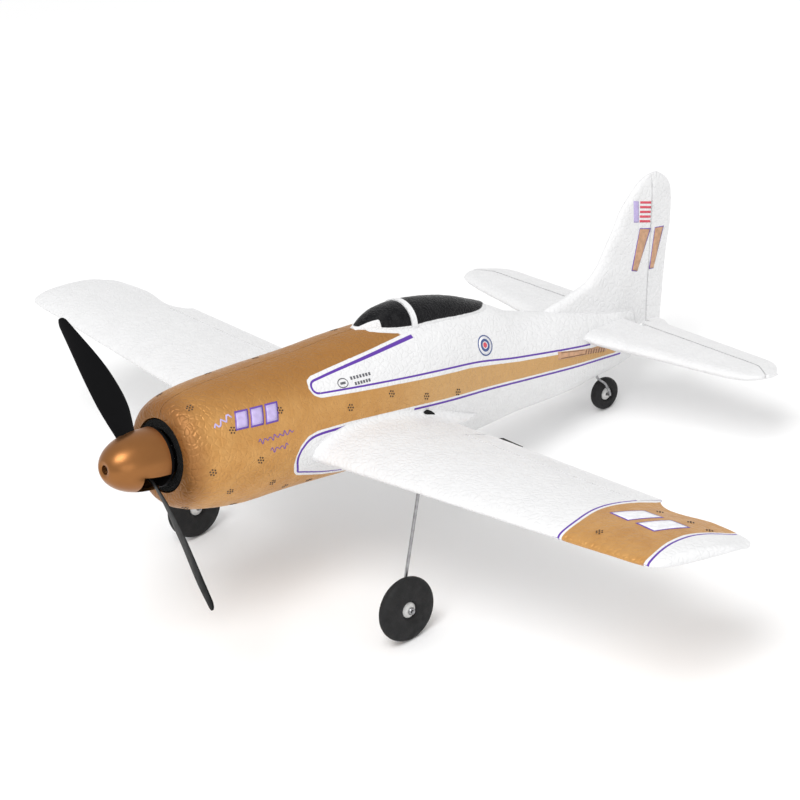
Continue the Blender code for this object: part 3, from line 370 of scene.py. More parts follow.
def tube(path, radius, segments=16):
    """A round bar along a path, its ends a little domed."""
    path = [np.array(p, float) for p in path]
    tangent = path[1] - path[0]
    tangent /= np.linalg.norm(tangent)
    side = np.cross(tangent, [0.3, 0.9, 0.1])
    rings = []
    for i, p in enumerate(path):
        heading = path[min(i + 1, len(path) - 1)] - path[max(i - 1, 0)]
        heading /= np.linalg.norm(heading)
        side = side - heading * (side @ heading)
        side /= np.linalg.norm(side)
        other = np.cross(heading, side)
        turns = [math.tau * k / segments for k in range(segments)]
        rings.append([p + (side * math.cos(a) + other * math.sin(a)) * radius for a in turns])
    domes = []
    for end, before in ((0, 1), (-1, -2)):
        p, heading = path[end], path[end] - path[before]
        heading /= np.linalg.norm(heading)
        domes.append([p + (q - p) * 0.55 + heading * np.linalg.norm(q - p) * 0.25 for q in rings[end]])
    return loft([domes[0]] + rings + [domes[1]])


def mesh_object(name, shape):
    """A closed mesh from datum millimetres, with its faces turned outward."""
    verts, faces = shape
    mesh = bpy.data.meshes.new(name)
    mesh.from_pydata(to_frame(verts).tolist(), [], faces)
    shell = bmesh.new()
    shell.from_mesh(mesh)
    bmesh.ops.remove_doubles(shell, verts=shell.verts, dist=1e-7)
    bmesh.ops.recalc_face_normals(shell, faces=shell.faces)
    shell.to_mesh(mesh)
    shell.free()
    obj = bpy.data.objects.new(name, mesh)
    bpy.context.scene.collection.objects.link(obj)
    return obj


def carve(obj, steps):
    """Cuts (or intersects) obj with closed shapes at once, so that nothing is left to evaluate."""
    tools = []
    for k, (operation, shape) in enumerate(steps):
        tool = mesh_object(f"tool_{k}", shape)
        step = obj.modifiers.new(tool.name, "BOOLEAN")
        step.operation, step.object, step.solver = operation, tool, "EXACT"
        tools.append(tool)
    graph = bpy.context.evaluated_depsgraph_get()
    done = bpy.data.meshes.new_from_object(obj.evaluated_get(graph))
    obj.modifiers.clear()
    old, obj.data = obj.data, done
    bpy.data.meshes.remove(old)
    for tool in tools:
        data = tool.data
        bpy.data.objects.remove(tool)
        bpy.data.meshes.remove(data)


def co_of(obj):
    co = np.zeros(len(obj.data.vertices) * 3)
    obj.data.vertices.foreach_get("co", co)
    return co.reshape(-1, 3)


def normals_of(obj):
    out = np.zeros(len(obj.data.vertices) * 3)
    obj.data.vertex_normals.foreach_get("vector", out)
    return out.reshape(-1, 3)


def cell_distance(points, cell):
    """Distance to the nearest of a jittered lattice of points, in cells (Worley noise)."""
    scaled = points / cell
    base = np.floor(scaled)
    best = np.full(len(points), 9.0)
    for dx in (-1, 0, 1):
        for dy in (-1, 0, 1):
            for dz in (-1, 0, 1):
                corner = base + (dx, dy, dz)
                jitter = []
                for k in range(3):
                    wave = corner @ np.array([127.1, 311.7, 74.7]) + 57.3 * (k + 1)
                    jitter.append(np.sin(wave) * 43758.5453 % 1.0)
                best = np.minimum(best, np.linalg.norm(scaled - corner - np.stack(jitter, 1), axis=1))
    return best


def relief(obj, cell, depth):
    """Sinks the creases between foam beads: every vertex moves inward by up to depth millimetres."""
    co, normal = co_of(obj), normals_of(obj)
    crease = np.clip(cell_distance(co / MM, cell) / 0.9, 0, 1) ** 2
    co -= normal * (crease * depth * MM)[:, None]
    obj.data.vertices.foreach_set("co", co.ravel())
    obj.data.update()


def finish_piece(obj, body, material, nodes=(), crease=38):
    obj.data.materials.clear()
    obj.data.materials.append(material)
    obj.data.shade_smooth()
    if crease:
        obj.data.set_sharp_from_angle(angle=math.radians(crease))
    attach(obj, body)
    if nodes:
        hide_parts(*nodes)


# ---------------------------------------------------------------- shading helpers


def put(tree, kind, settings=None, **inputs):
    """A node with its settings and inputs. An input is a socket or a constant, i3 means input 3."""
    made = tree.nodes.new("ShaderNode" + kind)
    for key, value in (settings or {}).items():
        setattr(made, key, value)
    for key, value in inputs.items():
        index = int(key[1:]) if key[0] == "i" and key[1:].isdigit() else key.replace("_", " ")
        if isinstance(value, bpy.types.NodeSocket):
            tree.links.new(value, made.inputs[index])
        else:
            made.inputs[index].default_value = value
    return made


def calc(tree, operation, a, b=0.0, c=0.0):
    return put(tree, "Math", {"operation": operation}, i0=a, i1=b, i2=c).outputs[0]


def fade(tree, value, low, high):
    """0 below low to 1 above high, smoothly; the other way round when low is above high."""
    return put(tree, "MapRange", {"interpolation_type": "SMOOTHSTEP"}, Value=value,
               From_Min=low, From_Max=high).outputs[0]


def blend(tree, factor, a, b):
    return put(tree, "Mix", {"data_type": "RGBA"}, i0=factor, i6=a, i7=b).outputs[2]


def srgb(r, g, b):
    """A screen colour, 0 to 255, as a linear one."""
    return tuple(((v / 255 + 0.055) / 1.055) ** 2.4 for v in (r, g, b)) + (1.0,)


def new_material(name):
    made = bpy.data.materials.new(name)
    made.use_nodes = True
    tree = made.node_tree
    return made, tree, tree.nodes["Principled BSDF"]


def place_of(tree):
    """The object's own coordinates, in metres."""
    return put(tree, "TexCoord").outputs["Object"]


def stations_of(tree):
    """Datum s, y and z of the shaded point at rest, in millimetres."""
    moved = put(tree, "VectorMath", {"operation": "SUBTRACT"}, i0=place_of(tree), i1=tuple(ORIGIN))
    out = []
    dot = {"operation": "DOT_PRODUCT"}
    for axis in (-FORWARD, LEFT, UP):
        reach = put(tree, "VectorMath", dot, i0=moved.outputs[0], i1=tuple(axis / MM))
        out.append(reach.outputs["Value"])
    return out


def grain(tree, shader, cells=(), noise=(), rough=None):
    """Bump from Voronoi cells and noise, each (size in mm, height in mm), and mottled roughness."""
    place, heights = place_of(tree), []
    for size, height in cells:
        wobble = put(tree, "TexNoise", Vector=place, Scale=0.55 / (size * MM), Detail=1.0).outputs["Color"]
        shift = put(tree, "VectorMath", {"operation": "MULTIPLY_ADD"}, i0=wobble,
                    i1=(0.5 * size * MM,) * 3, i2=place).outputs[0]
        cell = put(tree, "TexVoronoi", {"feature": "DISTANCE_TO_EDGE"}, Vector=shift, Scale=1 / (size * MM))
        heights.append(calc(tree, "MULTIPLY", fade(tree, cell.outputs["Distance"], 0.0, 0.24), height))
    for size, height in noise:
        value = put(tree, "TexNoise", Vector=place, Scale=1 / (size * MM), Detail=3.0).outputs[0]
        heights.append(calc(tree, "MULTIPLY", value, height))
    total = heights[0]
    for height in heights[1:]:
        total = calc(tree, "ADD", total, height)
    bump = put(tree, "Bump", Height=total, Distance=MM, Strength=1.0)
    tree.links.new(bump.outputs[0], shader.inputs["Normal"])
    if rough:
        value = put(tree, "TexNoise", Vector=place, Scale=1 / (3.0 * MM), Detail=2.0).outputs[0]
        low, high = rough
        mapped = put(tree, "MapRange", Value=value, From_Min=0.3, From_Max=0.7, To_Min=low, To_Max=high)
        tree.links.new(mapped.outputs[0], shader.inputs["Roughness"])


def simple(name, colour, rough=(0.4, 0.5), metallic=0.0, cells=(), noise=((0.5, 0.01),), mottle=0.06,
           size=2.0, specular=0.5):
    """A plain finish with its grain: the colour varies a little from place to place."""
    made, tree, shader = new_material(name)
    value = put(tree, "TexNoise", Vector=place_of(tree), Scale=1 / (size * MM), Detail=4.0).outputs[0]
    dark = tuple(c * (1 - mottle * 2) for c in colour[:3]) + (1.0,)
    light = tuple(min(1.0, c * (1 + mottle)) for c in colour[:3]) + (1.0,)
    tone = blend(tree, fade(tree, value, 0.3, 0.7), dark, light)
    tree.links.new(tone, shader.inputs["Base Color"])
    shader.inputs["Metallic"].default_value = metallic
    shader.inputs["Specular IOR Level"].default_value = specular
    grain(tree, shader, cells, noise, rough)
    return made


WHITE = (0.78, 0.78, 0.785, 1)
PURPLE = srgb(92, 52, 158)
GOLD_LIGHT, GOLD_DARK, GOLD_AFT = srgb(202, 152, 90), srgb(192, 140, 78), srgb(200, 158, 104)
# Painted shade colours: the first darkens the gold towards the fuselage's top, the second round the cowl's
# mouth.
GOLD_TOP_PAINTED_SHADE, GOLD_LIP_PAINTED_SHADE = srgb(158, 106, 48), srgb(120, 70, 30)


def painted_foam(name, lines=(), gold=False, painted_shade_and_tint=False, cell=2.3, depth=0.13):
    """White foam, with gold paint where the attribute gold is negative and a purple line for each
    attribute named in lines. Along the fuselage, when asked, the gold lightens towards the tail and
    takes painted shade towards the top and round the cowl's mouth."""
    made, tree, shader = new_material(name)
    place = place_of(tree)
    s, _, z = stations_of(tree)
    value = put(tree, "TexNoise", Vector=place, Scale=1 / (7 * MM), Detail=5.0, Roughness=0.6).outputs[0]
    colour = blend(tree, fade(tree, value, 0.3, 0.7), tuple(c * 0.965 for c in WHITE[:3]) + (1,), WHITE)
    if gold:
        field = put(tree, "Attribute", {"attribute_name": "gold"}).outputs["Fac"]
        mask = fade(tree, field, 0.14, -0.14)
        paint = blend(tree, fade(tree, value, 0.3, 0.7), GOLD_DARK, GOLD_LIGHT)
        if painted_shade_and_tint:
            paint = blend(tree, fade(tree, s, 100, 150), paint, GOLD_AFT)
            # Painted shade: the gold darkens towards the top of the fuselage.
            paint = blend(tree, calc(tree, "MULTIPLY", fade(tree, z, 13, 25), 0.75), paint, GOLD_TOP_PAINTED_SHADE)
            # Painted shade: the gold darkens round the cowl's mouth.
            paint = blend(tree, calc(tree, "MULTIPLY", fade(tree, s, 36, 25.4), 0.7), paint, GOLD_LIP_PAINTED_SHADE)
        colour = blend(tree, mask, colour, paint)
        tree.links.new(calc(tree, "MULTIPLY", mask, 0.45), shader.inputs["Metallic"])
    for line in lines:
        vector = put(tree, "Attribute", {"attribute_name": line}).outputs["Vector"]
        split = put(tree, "SeparateXYZ", Vector=vector)
        band = fade(tree, calc(tree, "ABSOLUTE", split.outputs[0]), 1.15, 0.85)
        ends = fade(tree, split.outputs[1], 0.1, -0.1)
        near = fade(tree, split.outputs[2], 3.0, 2.5)
        mask = calc(tree, "MULTIPLY", calc(tree, "MULTIPLY", band, ends), near)
        colour = blend(tree, mask, colour, PURPLE)
    tree.links.new(colour, shader.inputs["Base Color"])
    shader.inputs["Specular IOR Level"].default_value = 0.35
    grain(tree, shader, cells=[(cell, depth)], noise=[(0.9, 0.05), (0.3, 0.01)], rough=(0.34, 0.48))
    return made


# ---------------------------------------------------------------- painted lines and areas


def inside(polygon, x, y):
    """Even-odd test of points against a polygon."""
    result = np.zeros(len(x), bool)
    for (x0, y0), (x1, y1) in zip(polygon, polygon[1:] + polygon[:1]):
        crosses = (y0 > y) != (y1 > y)
        where = (x1 - x0) * (y - y0) / ((y1 - y0) or 1e-12) + x0
        result ^= crosses & (x < where)
    return result


def resampled(points, step=0.12):
    points = [np.array(p, float) for p in points]
    out = []
    for a, b in zip(points, points[1:]):
        count = max(1, math.ceil(np.linalg.norm(b - a) / step))
        out += [a + (b - a) * k / count for k in range(count)]
    return np.array(out + [points[-1]])


def nearest(samples, points):
    tree = KDTree(len(samples))
    for i, p in enumerate(samples):
        tree.insert(p, i)
    tree.balance()
    found = [tree.find(p)[1:] for p in points]
    return np.array([f[0] for f in found]), np.array([f[1] for f in found])


def set_line(obj, name, path, half_width):
    """Writes, for each vertex: offset across the line in half widths, distance past its ends, distance."""
    path = resampled(path)
    co, normal = to_datum(co_of(obj)), normals_of(obj) @ AXES.T
    index, distance = nearest(path, co)
    tangent = np.gradient(path, axis=0)
    tangent /= np.linalg.norm(tangent, axis=1)[:, None]
    offset = co - path[index]
    side = np.cross(normal, tangent[index])
    across = np.sign(np.einsum("ij,ij->i", offset, side)) * distance
    length = np.concatenate([[0], np.cumsum(np.linalg.norm(np.diff(path, axis=0), axis=1))])
    past = -np.minimum(length[index], length[-1] - length[index])
    first, last = index == 0, index == len(path) - 1
    past[first] = np.einsum("ij,j->i", offset[first], -tangent[0])
    past[last] = np.einsum("ij,j->i", offset[last], tangent[-1])
    if callable(half_width):
        across = across / np.array([half_width(path[i]) for i in index])
    else:
        across = across / half_width
    data = np.stack([across, np.clip(past, -3, 3), np.minimum(distance, 9)], 1)
    layer = obj.data.attributes.new(name, "FLOAT_VECTOR", "POINT")
    layer.data.foreach_set("vector", data.astype(np.float32).ravel())


def set_field(obj, name, values):
    layer = obj.data.attributes.new(name, "FLOAT", "POINT")
    layer.data.foreach_set("value", np.asarray(values, np.float32))


def signed_area(co, polygon, chart, surface):
    """Signed distance to a polygon drawn on a surface: negative inside. chart picks the two flat
    coordinates, surface places a boundary point in space or returns None."""
    edge = resampled(polygon + polygon[:1], 0.2)
    placed = [surface(p) for p in edge]
    placed = np.array([p for p in placed if p is not None])
    _, distance = nearest(placed, co)
    u, v = chart(co)
    return np.where(inside(polygon, u, v), -distance, distance)


def body_point(s, z, side=1):
    """A point of the fuselage's surface from its station and height."""
    width, top, bottom = section(s)
    height = top if z >= 0 else bottom
    if abs(z) > height:
        return None
    return (s, side * width * math.sqrt(1 - (z / height) ** 2), z)


def body_arc(s, a, side=1, lift=0.0):
    width, top, bottom = section(s)
    height = top if math.cos(a) >= 0 else bottom
    return np.array([s, side * (width + lift) * math.sin(a), (height + lift) * math.cos(a)])


# ---------------------------------------------------------------- livery lines, datum (s, z) or (s, y)

STRIPE_UPPER = [(84, 21), (104, 23.5), (122, 25.5), (137, 27)]
STRIPE_NOSE = [(84, 21), (82.7, 20.1), (82.4, 18.7), (83.2, 17.5), (85, 17)]
STRIPE_MIDDLE = [(85, 17), (121, 15), (162, 12), (192, 7.5), (236, 2.5)]
STRIPE_LOWER = [(129, 2), (164, -0.5), (198, -3), (258, -7)]
ROOT_LINE = [(96, 3.3), (81, 3.2), (74.5, 1.3), (70.5, -4), (72, -10.5)]
BELLY_LINE = [(72, -10.5), (88, -15), (104, -18.5)]


def raised(points, rise):
    return [(s, z + rise) for s, z in points]


# White areas, as outlines a margin away from the lines that edge them
UPPER_WHITE = [(82, 16.8), (81, 19), (81.8, 21.3)] + raised(STRIPE_UPPER[:-1], 1.4)
UPPER_WHITE += [(134, 28.2), (121, 30.2), (118, 32), (118, 60), (300, 60), (300, -6.3), (256, -6)]
UPPER_WHITE += [(242, 0.5)] + raised(STRIPE_MIDDLE[:0:-1], -1.7) + [(85, 15.5)]
LOWER_WHITE = [(69, -6.5), (69.6, -2.8), (71.6, 0.8), (75, 3.4), (80, 4.7), (96, 4.8), (119, 3.8)]
LOWER_WHITE += raised(STRIPE_LOWER, 1.2) + [(300, -6.4), (300, -60), (115, -60), (112, -27)]
LOWER_WHITE += raised(BELLY_LINE[::-1], -1.5) + [(70, -10)]
BODY_LINES = {
    "stripe_upper": (STRIPE_UPPER, lambda p: 0.5 + 0.35 * min(1.0, max(0.0, (p[0] - 84) / 45))),
    "stripe_nose": (STRIPE_NOSE, 0.45),
    "stripe_middle": (STRIPE_MIDDLE, 0.38),
    "stripe_lower": (STRIPE_LOWER, 0.42),
    "root_line": (ROOT_LINE, 0.5),
    "belly_line": (BELLY_LINE, 0.4),
}
# The left tip's gold band in plan, (s, y), and the lines along it
TIP_INNER = [(80, 146), (98, 145.5), (118, 141.2), (150, 141.2)]
TIP_OUTER = [(80, 183), (98, 181.7), (112, 178.3), (126, 177), (150, 182)]
TIP_LINES = {
    "tip_inner": ([(s, y - 1.5) for s, y in [(86, 146)] + TIP_INNER[1:]], 0.45),
    "tip_outer": ([(s, y + 1.6) for s, y in [(92, 182.3)] + TIP_OUTER[1:-1] + [(142, 180)]], 0.45),
}

# ---------------------------------------------------------------- finishes

FUSELAGE_FINISH = painted_foam("painted_fuselage_foam", BODY_LINES, gold=True, painted_shade_and_tint=True)
TIP_FINISH = painted_foam("painted_wing_foam", TIP_LINES, gold=True, cell=2.6)
FOAM = painted_foam("white_bead_foam", cell=2.6)
SPINNER_FINISH = simple("satin_bronze_plastic", srgb(152, 102, 58), (0.3, 0.36), 0.88,
                        noise=((0.35, 0.004),), mottle=0.02, size=9)
BLACK_GLOSS = simple("black_moulded_plastic", (0.002, 0.002, 0.0025), (0.42, 0.54), noise=((0.6, 0.006),),
                     specular=0.08)
FELT = simple("black_ring_flock", (0.008, 0.008, 0.008), (0.75, 0.95), cells=((0.9, 0.25),),
              noise=((0.35, 0.12),), specular=0.2)
TYRE_FOAM = simple("black_foam_tyre", (0.012, 0.012, 0.0125), (0.6, 0.8), cells=((0.8, 0.04),),
                   noise=((0.3, 0.02),), specular=0.3)
HUB_PLASTIC = simple("white_hub_plastic", (0.62, 0.62, 0.61), (0.3, 0.4))
STEEL = simple("drawn_steel_wire", (0.36, 0.36, 0.37), (0.28, 0.4), 1.0, noise=((0.25, 0.004),), mottle=0.1)
ALUMINIUM = simple("turned_aluminium", (0.68, 0.68, 0.7), (0.25, 0.4), 1.0, noise=((0.3, 0.006),))
COPPER = simple("wound_copper", (0.65, 0.28, 0.12), (0.3, 0.45), 1.0, cells=((0.4, 0.08),))
CARBON = simple("carbon_rod", (0.02, 0.02, 0.022), (0.25, 0.4), cells=((0.6, 0.03),))
BOARD = simple("green_circuit_board", (0.02, 0.15, 0.07), (0.35, 0.5), cells=((1.2, 0.03),), mottle=0.2)
WRAP = simple("battery_shrink_wrap", (0.04, 0.06, 0.13), (0.2, 0.35), noise=((2.0, 0.05),))


def canopy_finish():
    made, tree, shader = new_material("black_canopy_foam")
    place = place_of(tree)
    field = put(tree, "Attribute", {"attribute_name": "frame"}).outputs["Fac"]
    value = put(tree, "TexNoise", Vector=place, Scale=1 / (3 * MM), Detail=4.0).outputs[0]
    black = blend(tree, fade(tree, value, 0.35, 0.7), (0.004, 0.004, 0.005, 1), (0.012, 0.012, 0.013, 1))
    mask = fade(tree, field, 0.12, -0.12)
    tree.links.new(blend(tree, mask, black, WHITE), shader.inputs["Base Color"])
    shader.inputs["Specular IOR Level"].default_value = 0.13
    grain(tree, shader, cells=[(1.5, 0.15)], noise=[(0.6, 0.1)], rough=(0.24, 0.4))
    return made


CANOPY_FINISH = canopy_finish()


# ---------------------------------------------------------------- fuselage


def body_ring(s, inset=0.0, side=None, arc=72):
    """The fuselage's section at s, all of it or one side's half."""
    width, top, bottom = (value - inset for value in section(s))
    points = []
    for k in range(arc + 1):
        a = math.pi * k / arc
        height = top if k * 2 <= arc else bottom
        y = SEAM_GAP + (width - SEAM_GAP) * math.sin(a) if side else width * math.sin(a)
        points.append((s, y * (side or 1), height * math.cos(a)))
    if side is None:
        points += [(s, -y, z) for s, y, z in reversed(points[1:-1])]
    return points


def cavity():
    stations = [29, 34, 42, 54, 73, 100, 127, 139, 150, 161, 181, 199, 212]
    return loft([body_ring(s, SKIN, arc=14) for s in stations])


def body_fields(obj):
    """Gold and white areas and the purple lines, drawn alike on both sides."""
    co = to_datum(co_of(obj))
    co[:, 1] = np.abs(co[:, 1])
    chart = lambda p: (p[:, 0], p[:, 2])
    fields = [signed_area(co, area, chart, lambda p: body_point(p[0], p[1]))
              for area in (UPPER_WHITE, LOWER_WHITE)]
    set_field(obj, "gold", -np.minimum(*fields))
    side = -1 if to_datum(co_of(obj))[:, 1].mean() < 0 else 1
    for name, (points, half_width) in BODY_LINES.items():
        path = [body_point(s, z, side) for s, z in smooth_path(points, 0.8)]
        set_line(obj, name, [p for p in path if p is not None], half_width)


def make_fuselage():
    stations = [COWL_FRONT + d for d in (0.03, 0.12, 0.3, 0.6, 1.0, 1.6, 2.4, 3.4, 4.6)]
    stations += dense([stations[-1] + 1.0, TAIL_END - 1.2], 1.15)
    front, rear, half = HATCH
    hatch = block((front, rear), (-half, half), (-30, -14))
    mouth = turned([(15, 0), (15, COWL_MOUTH_RADIUS), (32, COWL_MOUTH_RADIUS), (32, 0)], closed=False)
    slot = block((AILERON_HINGE - 3.2, AILERON_HINGE + 3.2), (-40, 40), (-7.6, -1.2))
    for side, name in SIDES:
        rings = [body_ring(COWL_FRONT, 1.4, side), body_ring(COWL_FRONT, 0.5, side)]
        rings += [body_ring(s, 0.0, side) for s in stations]
        rings += [body_ring(TAIL_END - 0.5, 0.3, side), body_ring(TAIL_END, 1.3, side)]
        shell = mesh_object("fuselage_shell_" + name, loft(rings))
        carve(shell, [("DIFFERENCE", shape) for shape in (mouth, cavity(), hatch, slot)])
        relief(shell, 2.5, 0.12)
        body_fields(shell)
        finish_piece(shell, "airframe", FUSELAGE_FINISH, ["fuselage_" + name])


def make_hatch():
    front, rear, half = HATCH
    shell = mesh_object("belly_hatch", loft([body_ring(s) for s in dense([front - 2, rear + 2], 1.2)]))
    inside_box = block((front + 0.25, rear - 0.25), (-half + 0.25, half - 0.25), (-30, -15))
    carve(shell, [("INTERSECT", inside_box), ("DIFFERENCE", cavity())])
    relief(shell, 2.3, 0.06)
    body_fields(shell)
    finish_piece(shell, "battery_door", FUSELAGE_FINISH, ["battery_hatch"])


# ---------------------------------------------------------------- flying surfaces


def foil_ring(nose, tail, thickness, camber=0.0, shape=foil_half_thickness, edge=0.7, points=40):
    chord = tail - nose
    upper, lower = [], []
    for k in range(points):
        x = (1 - math.cos(math.pi * k / (points - 1))) / 2
        half = max(thickness * shape(x), edge / 2 * min(1.0, x * 12))
        mean = camber * thickness * 4 * x * (1 - x)
        if k:
            upper.append((nose + chord * x, mean + half))
            lower.append((nose + chord * x, mean - half))
    return upper[::-1] + [(nose, 0.0)] + lower


def wing_ring(y, side):
    base = WING_Z_ROOT + WING_DIHEDRAL * y
    nose, tail = curve(WING_NOSE, y), curve(WING_TAIL, y)
    ring = foil_ring(nose, tail, curve(WING_THICKNESS, y), camber=0.28)
    return [(s, side * y, base - WING_DROP * (s - nose) / (tail - nose) + z) for s, z in ring]


def wing_shape(side, low=12.0, high=HALF_SPAN):
    stations = dense([low, 46.2], 1.5) + dense([46.6, 139.8], 1.5) + dense([141, 180], 1.3)
    stations += dense([180.6, 187], 0.7) + dense([187.3, 191.9], 0.35) + [192.2, HALF_SPAN]
    return loft([wing_ring(y, side) for y in stations if low <= y <= high])


def tip_fields(obj):
    """The gold band and its two purple lines near the left tip, drawn in plan."""
    co = to_datum(co_of(obj))
    flat = co * (1, 1, 0)
    band = [tuple(p) for p in smooth_path(TIP_INNER, 1.0) + smooth_path(TIP_OUTER[::-1], 1.0)]
    plan = lambda p: (p[:, 0], p[:, 1])
    set_field(obj, "gold", signed_area(flat, band, plan, lambda p: (p[0], p[1], 0.0)))
    for name, (points, half_width) in TIP_LINES.items():
        path = [(s, y, wing_top(y, max(s, curve(WING_NOSE, y)))) for s, y in smooth_path(points, 0.8)]
        set_line(obj, name, path, half_width)


def make_wing(side, name):
    low, high = AILERON_SPAN
    notch, sweep = (block((front, 160), sorted((side * near, side * far)), (-20, 15))
                    for front, near, far in ((AILERON_HINGE - 0.25, low - 0.3, high + 0.3),
                                             (AILERON_HINGE + 6.4, low - 2.0, low)))
    wing = mesh_object("wing_panel_" + name, wing_shape(side))
    carve(wing, [("DIFFERENCE", notch), ("DIFFERENCE", sweep)])
    relief(wing, 2.8, 0.08)
    if side > 0:
        tip_fields(wing)
    finish_piece(wing, "airframe", TIP_FINISH if side > 0 else FOAM, ["wing_" + name])

    aileron = mesh_object("aileron_panel_" + name, wing_shape(side, low - 5, high + 8))
    ends = [(side * y, hinge_height(y)) for y in AILERON_SPAN]
    carve(aileron, [("INTERSECT", vee_fronted(AILERON_HINGE + 0.12, ends, 160, 20.0, SURFACE_BEVEL))])
    relief(aileron, 2.8, 0.06)
    finish_piece(aileron, f"{name}_aileron", FOAM, ["aileron_" + name])

    strip = [[(AILERON_HINGE - 0.3, side * y, hinge_height(y) + h) for h in (-0.5, 0.9)]
             + [(AILERON_HINGE + 0.1, side * y, hinge_height(y) + h) for h in (0.9, -0.5)]
             for y in dense([low, high], 4)]
    web = mesh_object("aileron_hinge_web_" + name, loft(strip))
    finish_piece(web, "airframe", FOAM, crease=0)


# Height of the fillet's seam on the fuselage, by station
SADDLE = [(77, -3.6), (82, 0.4), (90.6, 3.4), (100.7, 4.1), (118.8, 3.7), (131, 1.2), (143.5, -1.9)]
SADDLE += [(163, -8.6), (168, -10.2)]


def make_root_fairings():
    """The moulded fillet between wing and fuselage, running out behind the trailing edge."""
    for side, name in SIDES:
        rings = []
        for s in dense([78, 166], 1.1):
            seam = curve(SADDLE, s)
            width, top, bottom = section(s)
            y0 = width * math.sqrt(max(0.0, 1 - (seam / (top if seam > 0 else bottom)) ** 2)) + 0.25
            reach = 6.5 * min(1.0, (s - 76) / 12, (169 - s) / 18)
            y1 = y0 + reach
            nose, tail = curve(WING_NOSE, y1), curve(WING_TAIL, y1)
            z1 = wing_top(y1, min(max(s, nose + 0.6), tail - 0.4)) - 0.05
            z1 -= 0.16 * max(0.0, s - tail)
            seam_z = max(seam, z1 + 0.15)
            ring = []
            for k in range(13):
                t = k / 12
                y = (1 - t) ** 2 * y0 + 2 * t * (1 - t) * (y0 + 0.5) + t * t * y1
                z = (1 - t) ** 2 * seam_z + 2 * t * (1 - t) * (z1 + 0.3) + t * t * z1
                ring.append((s, side * y, z))
            under = [(y1 - 0.3, z1 - 1.4), (y0 - 2.5, z1 - 1.4), (y0 - 2.5, seam_z - 0.4)]
            ring += [(s, side * y, z) for y, z in under]
            rings.append(ring)
        fairing = mesh_object("wing_root_fairing_" + name, loft(rings))
        relief(fairing, 2.4, 0.05)
        finish_piece(fairing, "airframe", FOAM)


def tail_ring(y, front=None, rear=None, count=26):
    nose, tail, thick = curve(TAIL_NOSE, y), curve(TAIL_TAIL, y), curve(TAIL_THICKNESS, y)
    first, last = front or nose, rear or tail
    upper = []
    for k in range(count):
        x = (1 - math.cos(math.pi * k / (count - 1))) / 2 if front is None else k / (count - 1)
        s = first + (last - first) * x
        half = max(0.1, thick * plate_half_thickness((s - nose) / (tail - nose)))
        if front is not None and k == 0:
            upper.append((first, 0.15))
            half = thick * plate_half_thickness((first - nose) / (tail - nose))
            s = first + (half - 0.15) * math.tan(math.radians(SURFACE_BEVEL))
        upper.append((s, half))
    return [(s, TAIL_Z + half) for s, half in upper] + [(s, TAIL_Z - half) for s, half in reversed(upper)]


def make_tail():
    rings = []
    right = [-STAB_SHOULDER] + dense([-86, -80], 0.6) + dense([-79, -15.7], 1.4) + [-15.6]
    for y in right + [-y for y in reversed(right)]:
        rear = curve(SLOT, abs(y)) - (0.1 if abs(y) > 15.65 else 1.6)
        rings.append([(s, y, z) for s, z in tail_ring(abs(y), rear=rear)])
    plane = mesh_object("tailplane", loft(rings))
    relief(plane, 2.6, 0.07)
    finish_piece(plane, "airframe", FOAM, ["stabiliser"])
    inner = ELEVATOR_INNER
    hinge = ELEVATOR_HINGE + 0.2
    fronts = [(inner, 268.6), (inner + 1.0, 267.6), (inner + 3.5, 267.2), (inner + 3.6, hinge)]
    fronts += [(78.2, hinge), (83.6, curve(SLOT, 83.6) + 0.25)]
    shoulder = curve(SLOT, STAB_SHOULDER)
    fronts += [(STAB_SHOULDER, shoulder + 0.35), (STAB_HALF_SPAN, shoulder + 1.4)]
    for side, name in SIDES:
        rings = []
        for y in dense([inner, 12.1], 0.5) + dense([12.2, 78], 1.4) + dense([78.4, STAB_HALF_SPAN], 0.5):
            rings.append([(s, side * y, z) for s, z in tail_ring(y, front=along(fronts, y))])
        elevator = mesh_object("elevator_panel_" + name, loft(rings))
        relief(elevator, 2.6, 0.06)
        finish_piece(elevator, "elevator", FOAM, ["elevator_" + name])
    web = [[(ELEVATOR_HINGE - 0.25, y, TAIL_Z + h) for h in (-0.5, 0.5)]
           + [(ELEVATOR_HINGE + 0.1, y, TAIL_Z + h) for h in (0.5, -0.5)] for y in (16.5, 77)]
    for side, name in SIDES:
        strip = loft([[(s, side * y, z) for s, y, z in ring] for ring in web])
        strip = mesh_object("elevator_hinge_web_" + name, strip)
        finish_piece(strip, "airframe", FOAM, crease=0)


def fin_shape():
    rings = []
    for z in dense([FIN_FOOT, 58.6], 1.3) + dense([59.2, 64.4], 0.6) + dense([64.7, FIN_TOP], 0.3):
        nose, tail, depth = curve(FIN_NOSE, z), curve(FIN_TAIL, z), curve(FIN_THICKNESS, z)
        ring = foil_ring(nose, tail, depth, shape=plate_half_thickness, points=44)
        rings.append([(s, y, z) for s, y in ring])
    return loft(rings)


def make_fin():
    fin = mesh_object("fin_panel", fin_shape())
    carve(fin, [("DIFFERENCE", block((RUDDER_HINGE - 0.15, 300), (-10, 10), (0, 80)))])
    relief(fin, 2.6, 0.07)
    finish_piece(fin, "airframe", FOAM, ["fin"])
    rudder = mesh_object("rudder_panel", fin_shape())
    lean = math.tan(math.radians(SURFACE_BEVEL + 2))
    front = RUDDER_HINGE + 0.1
    outline = [(front, 0.0), (front + 6 * lean, 6), (300, 6), (300, -6), (front + 6 * lean, -6)]
    carve(rudder, [("INTERSECT", prism(outline, 0, 80))])
    relief(rudder, 2.6, 0.07)
    finish_piece(rudder, "rudder", FOAM, ["rudder"])


# ---------------------------------------------------------------- canopy


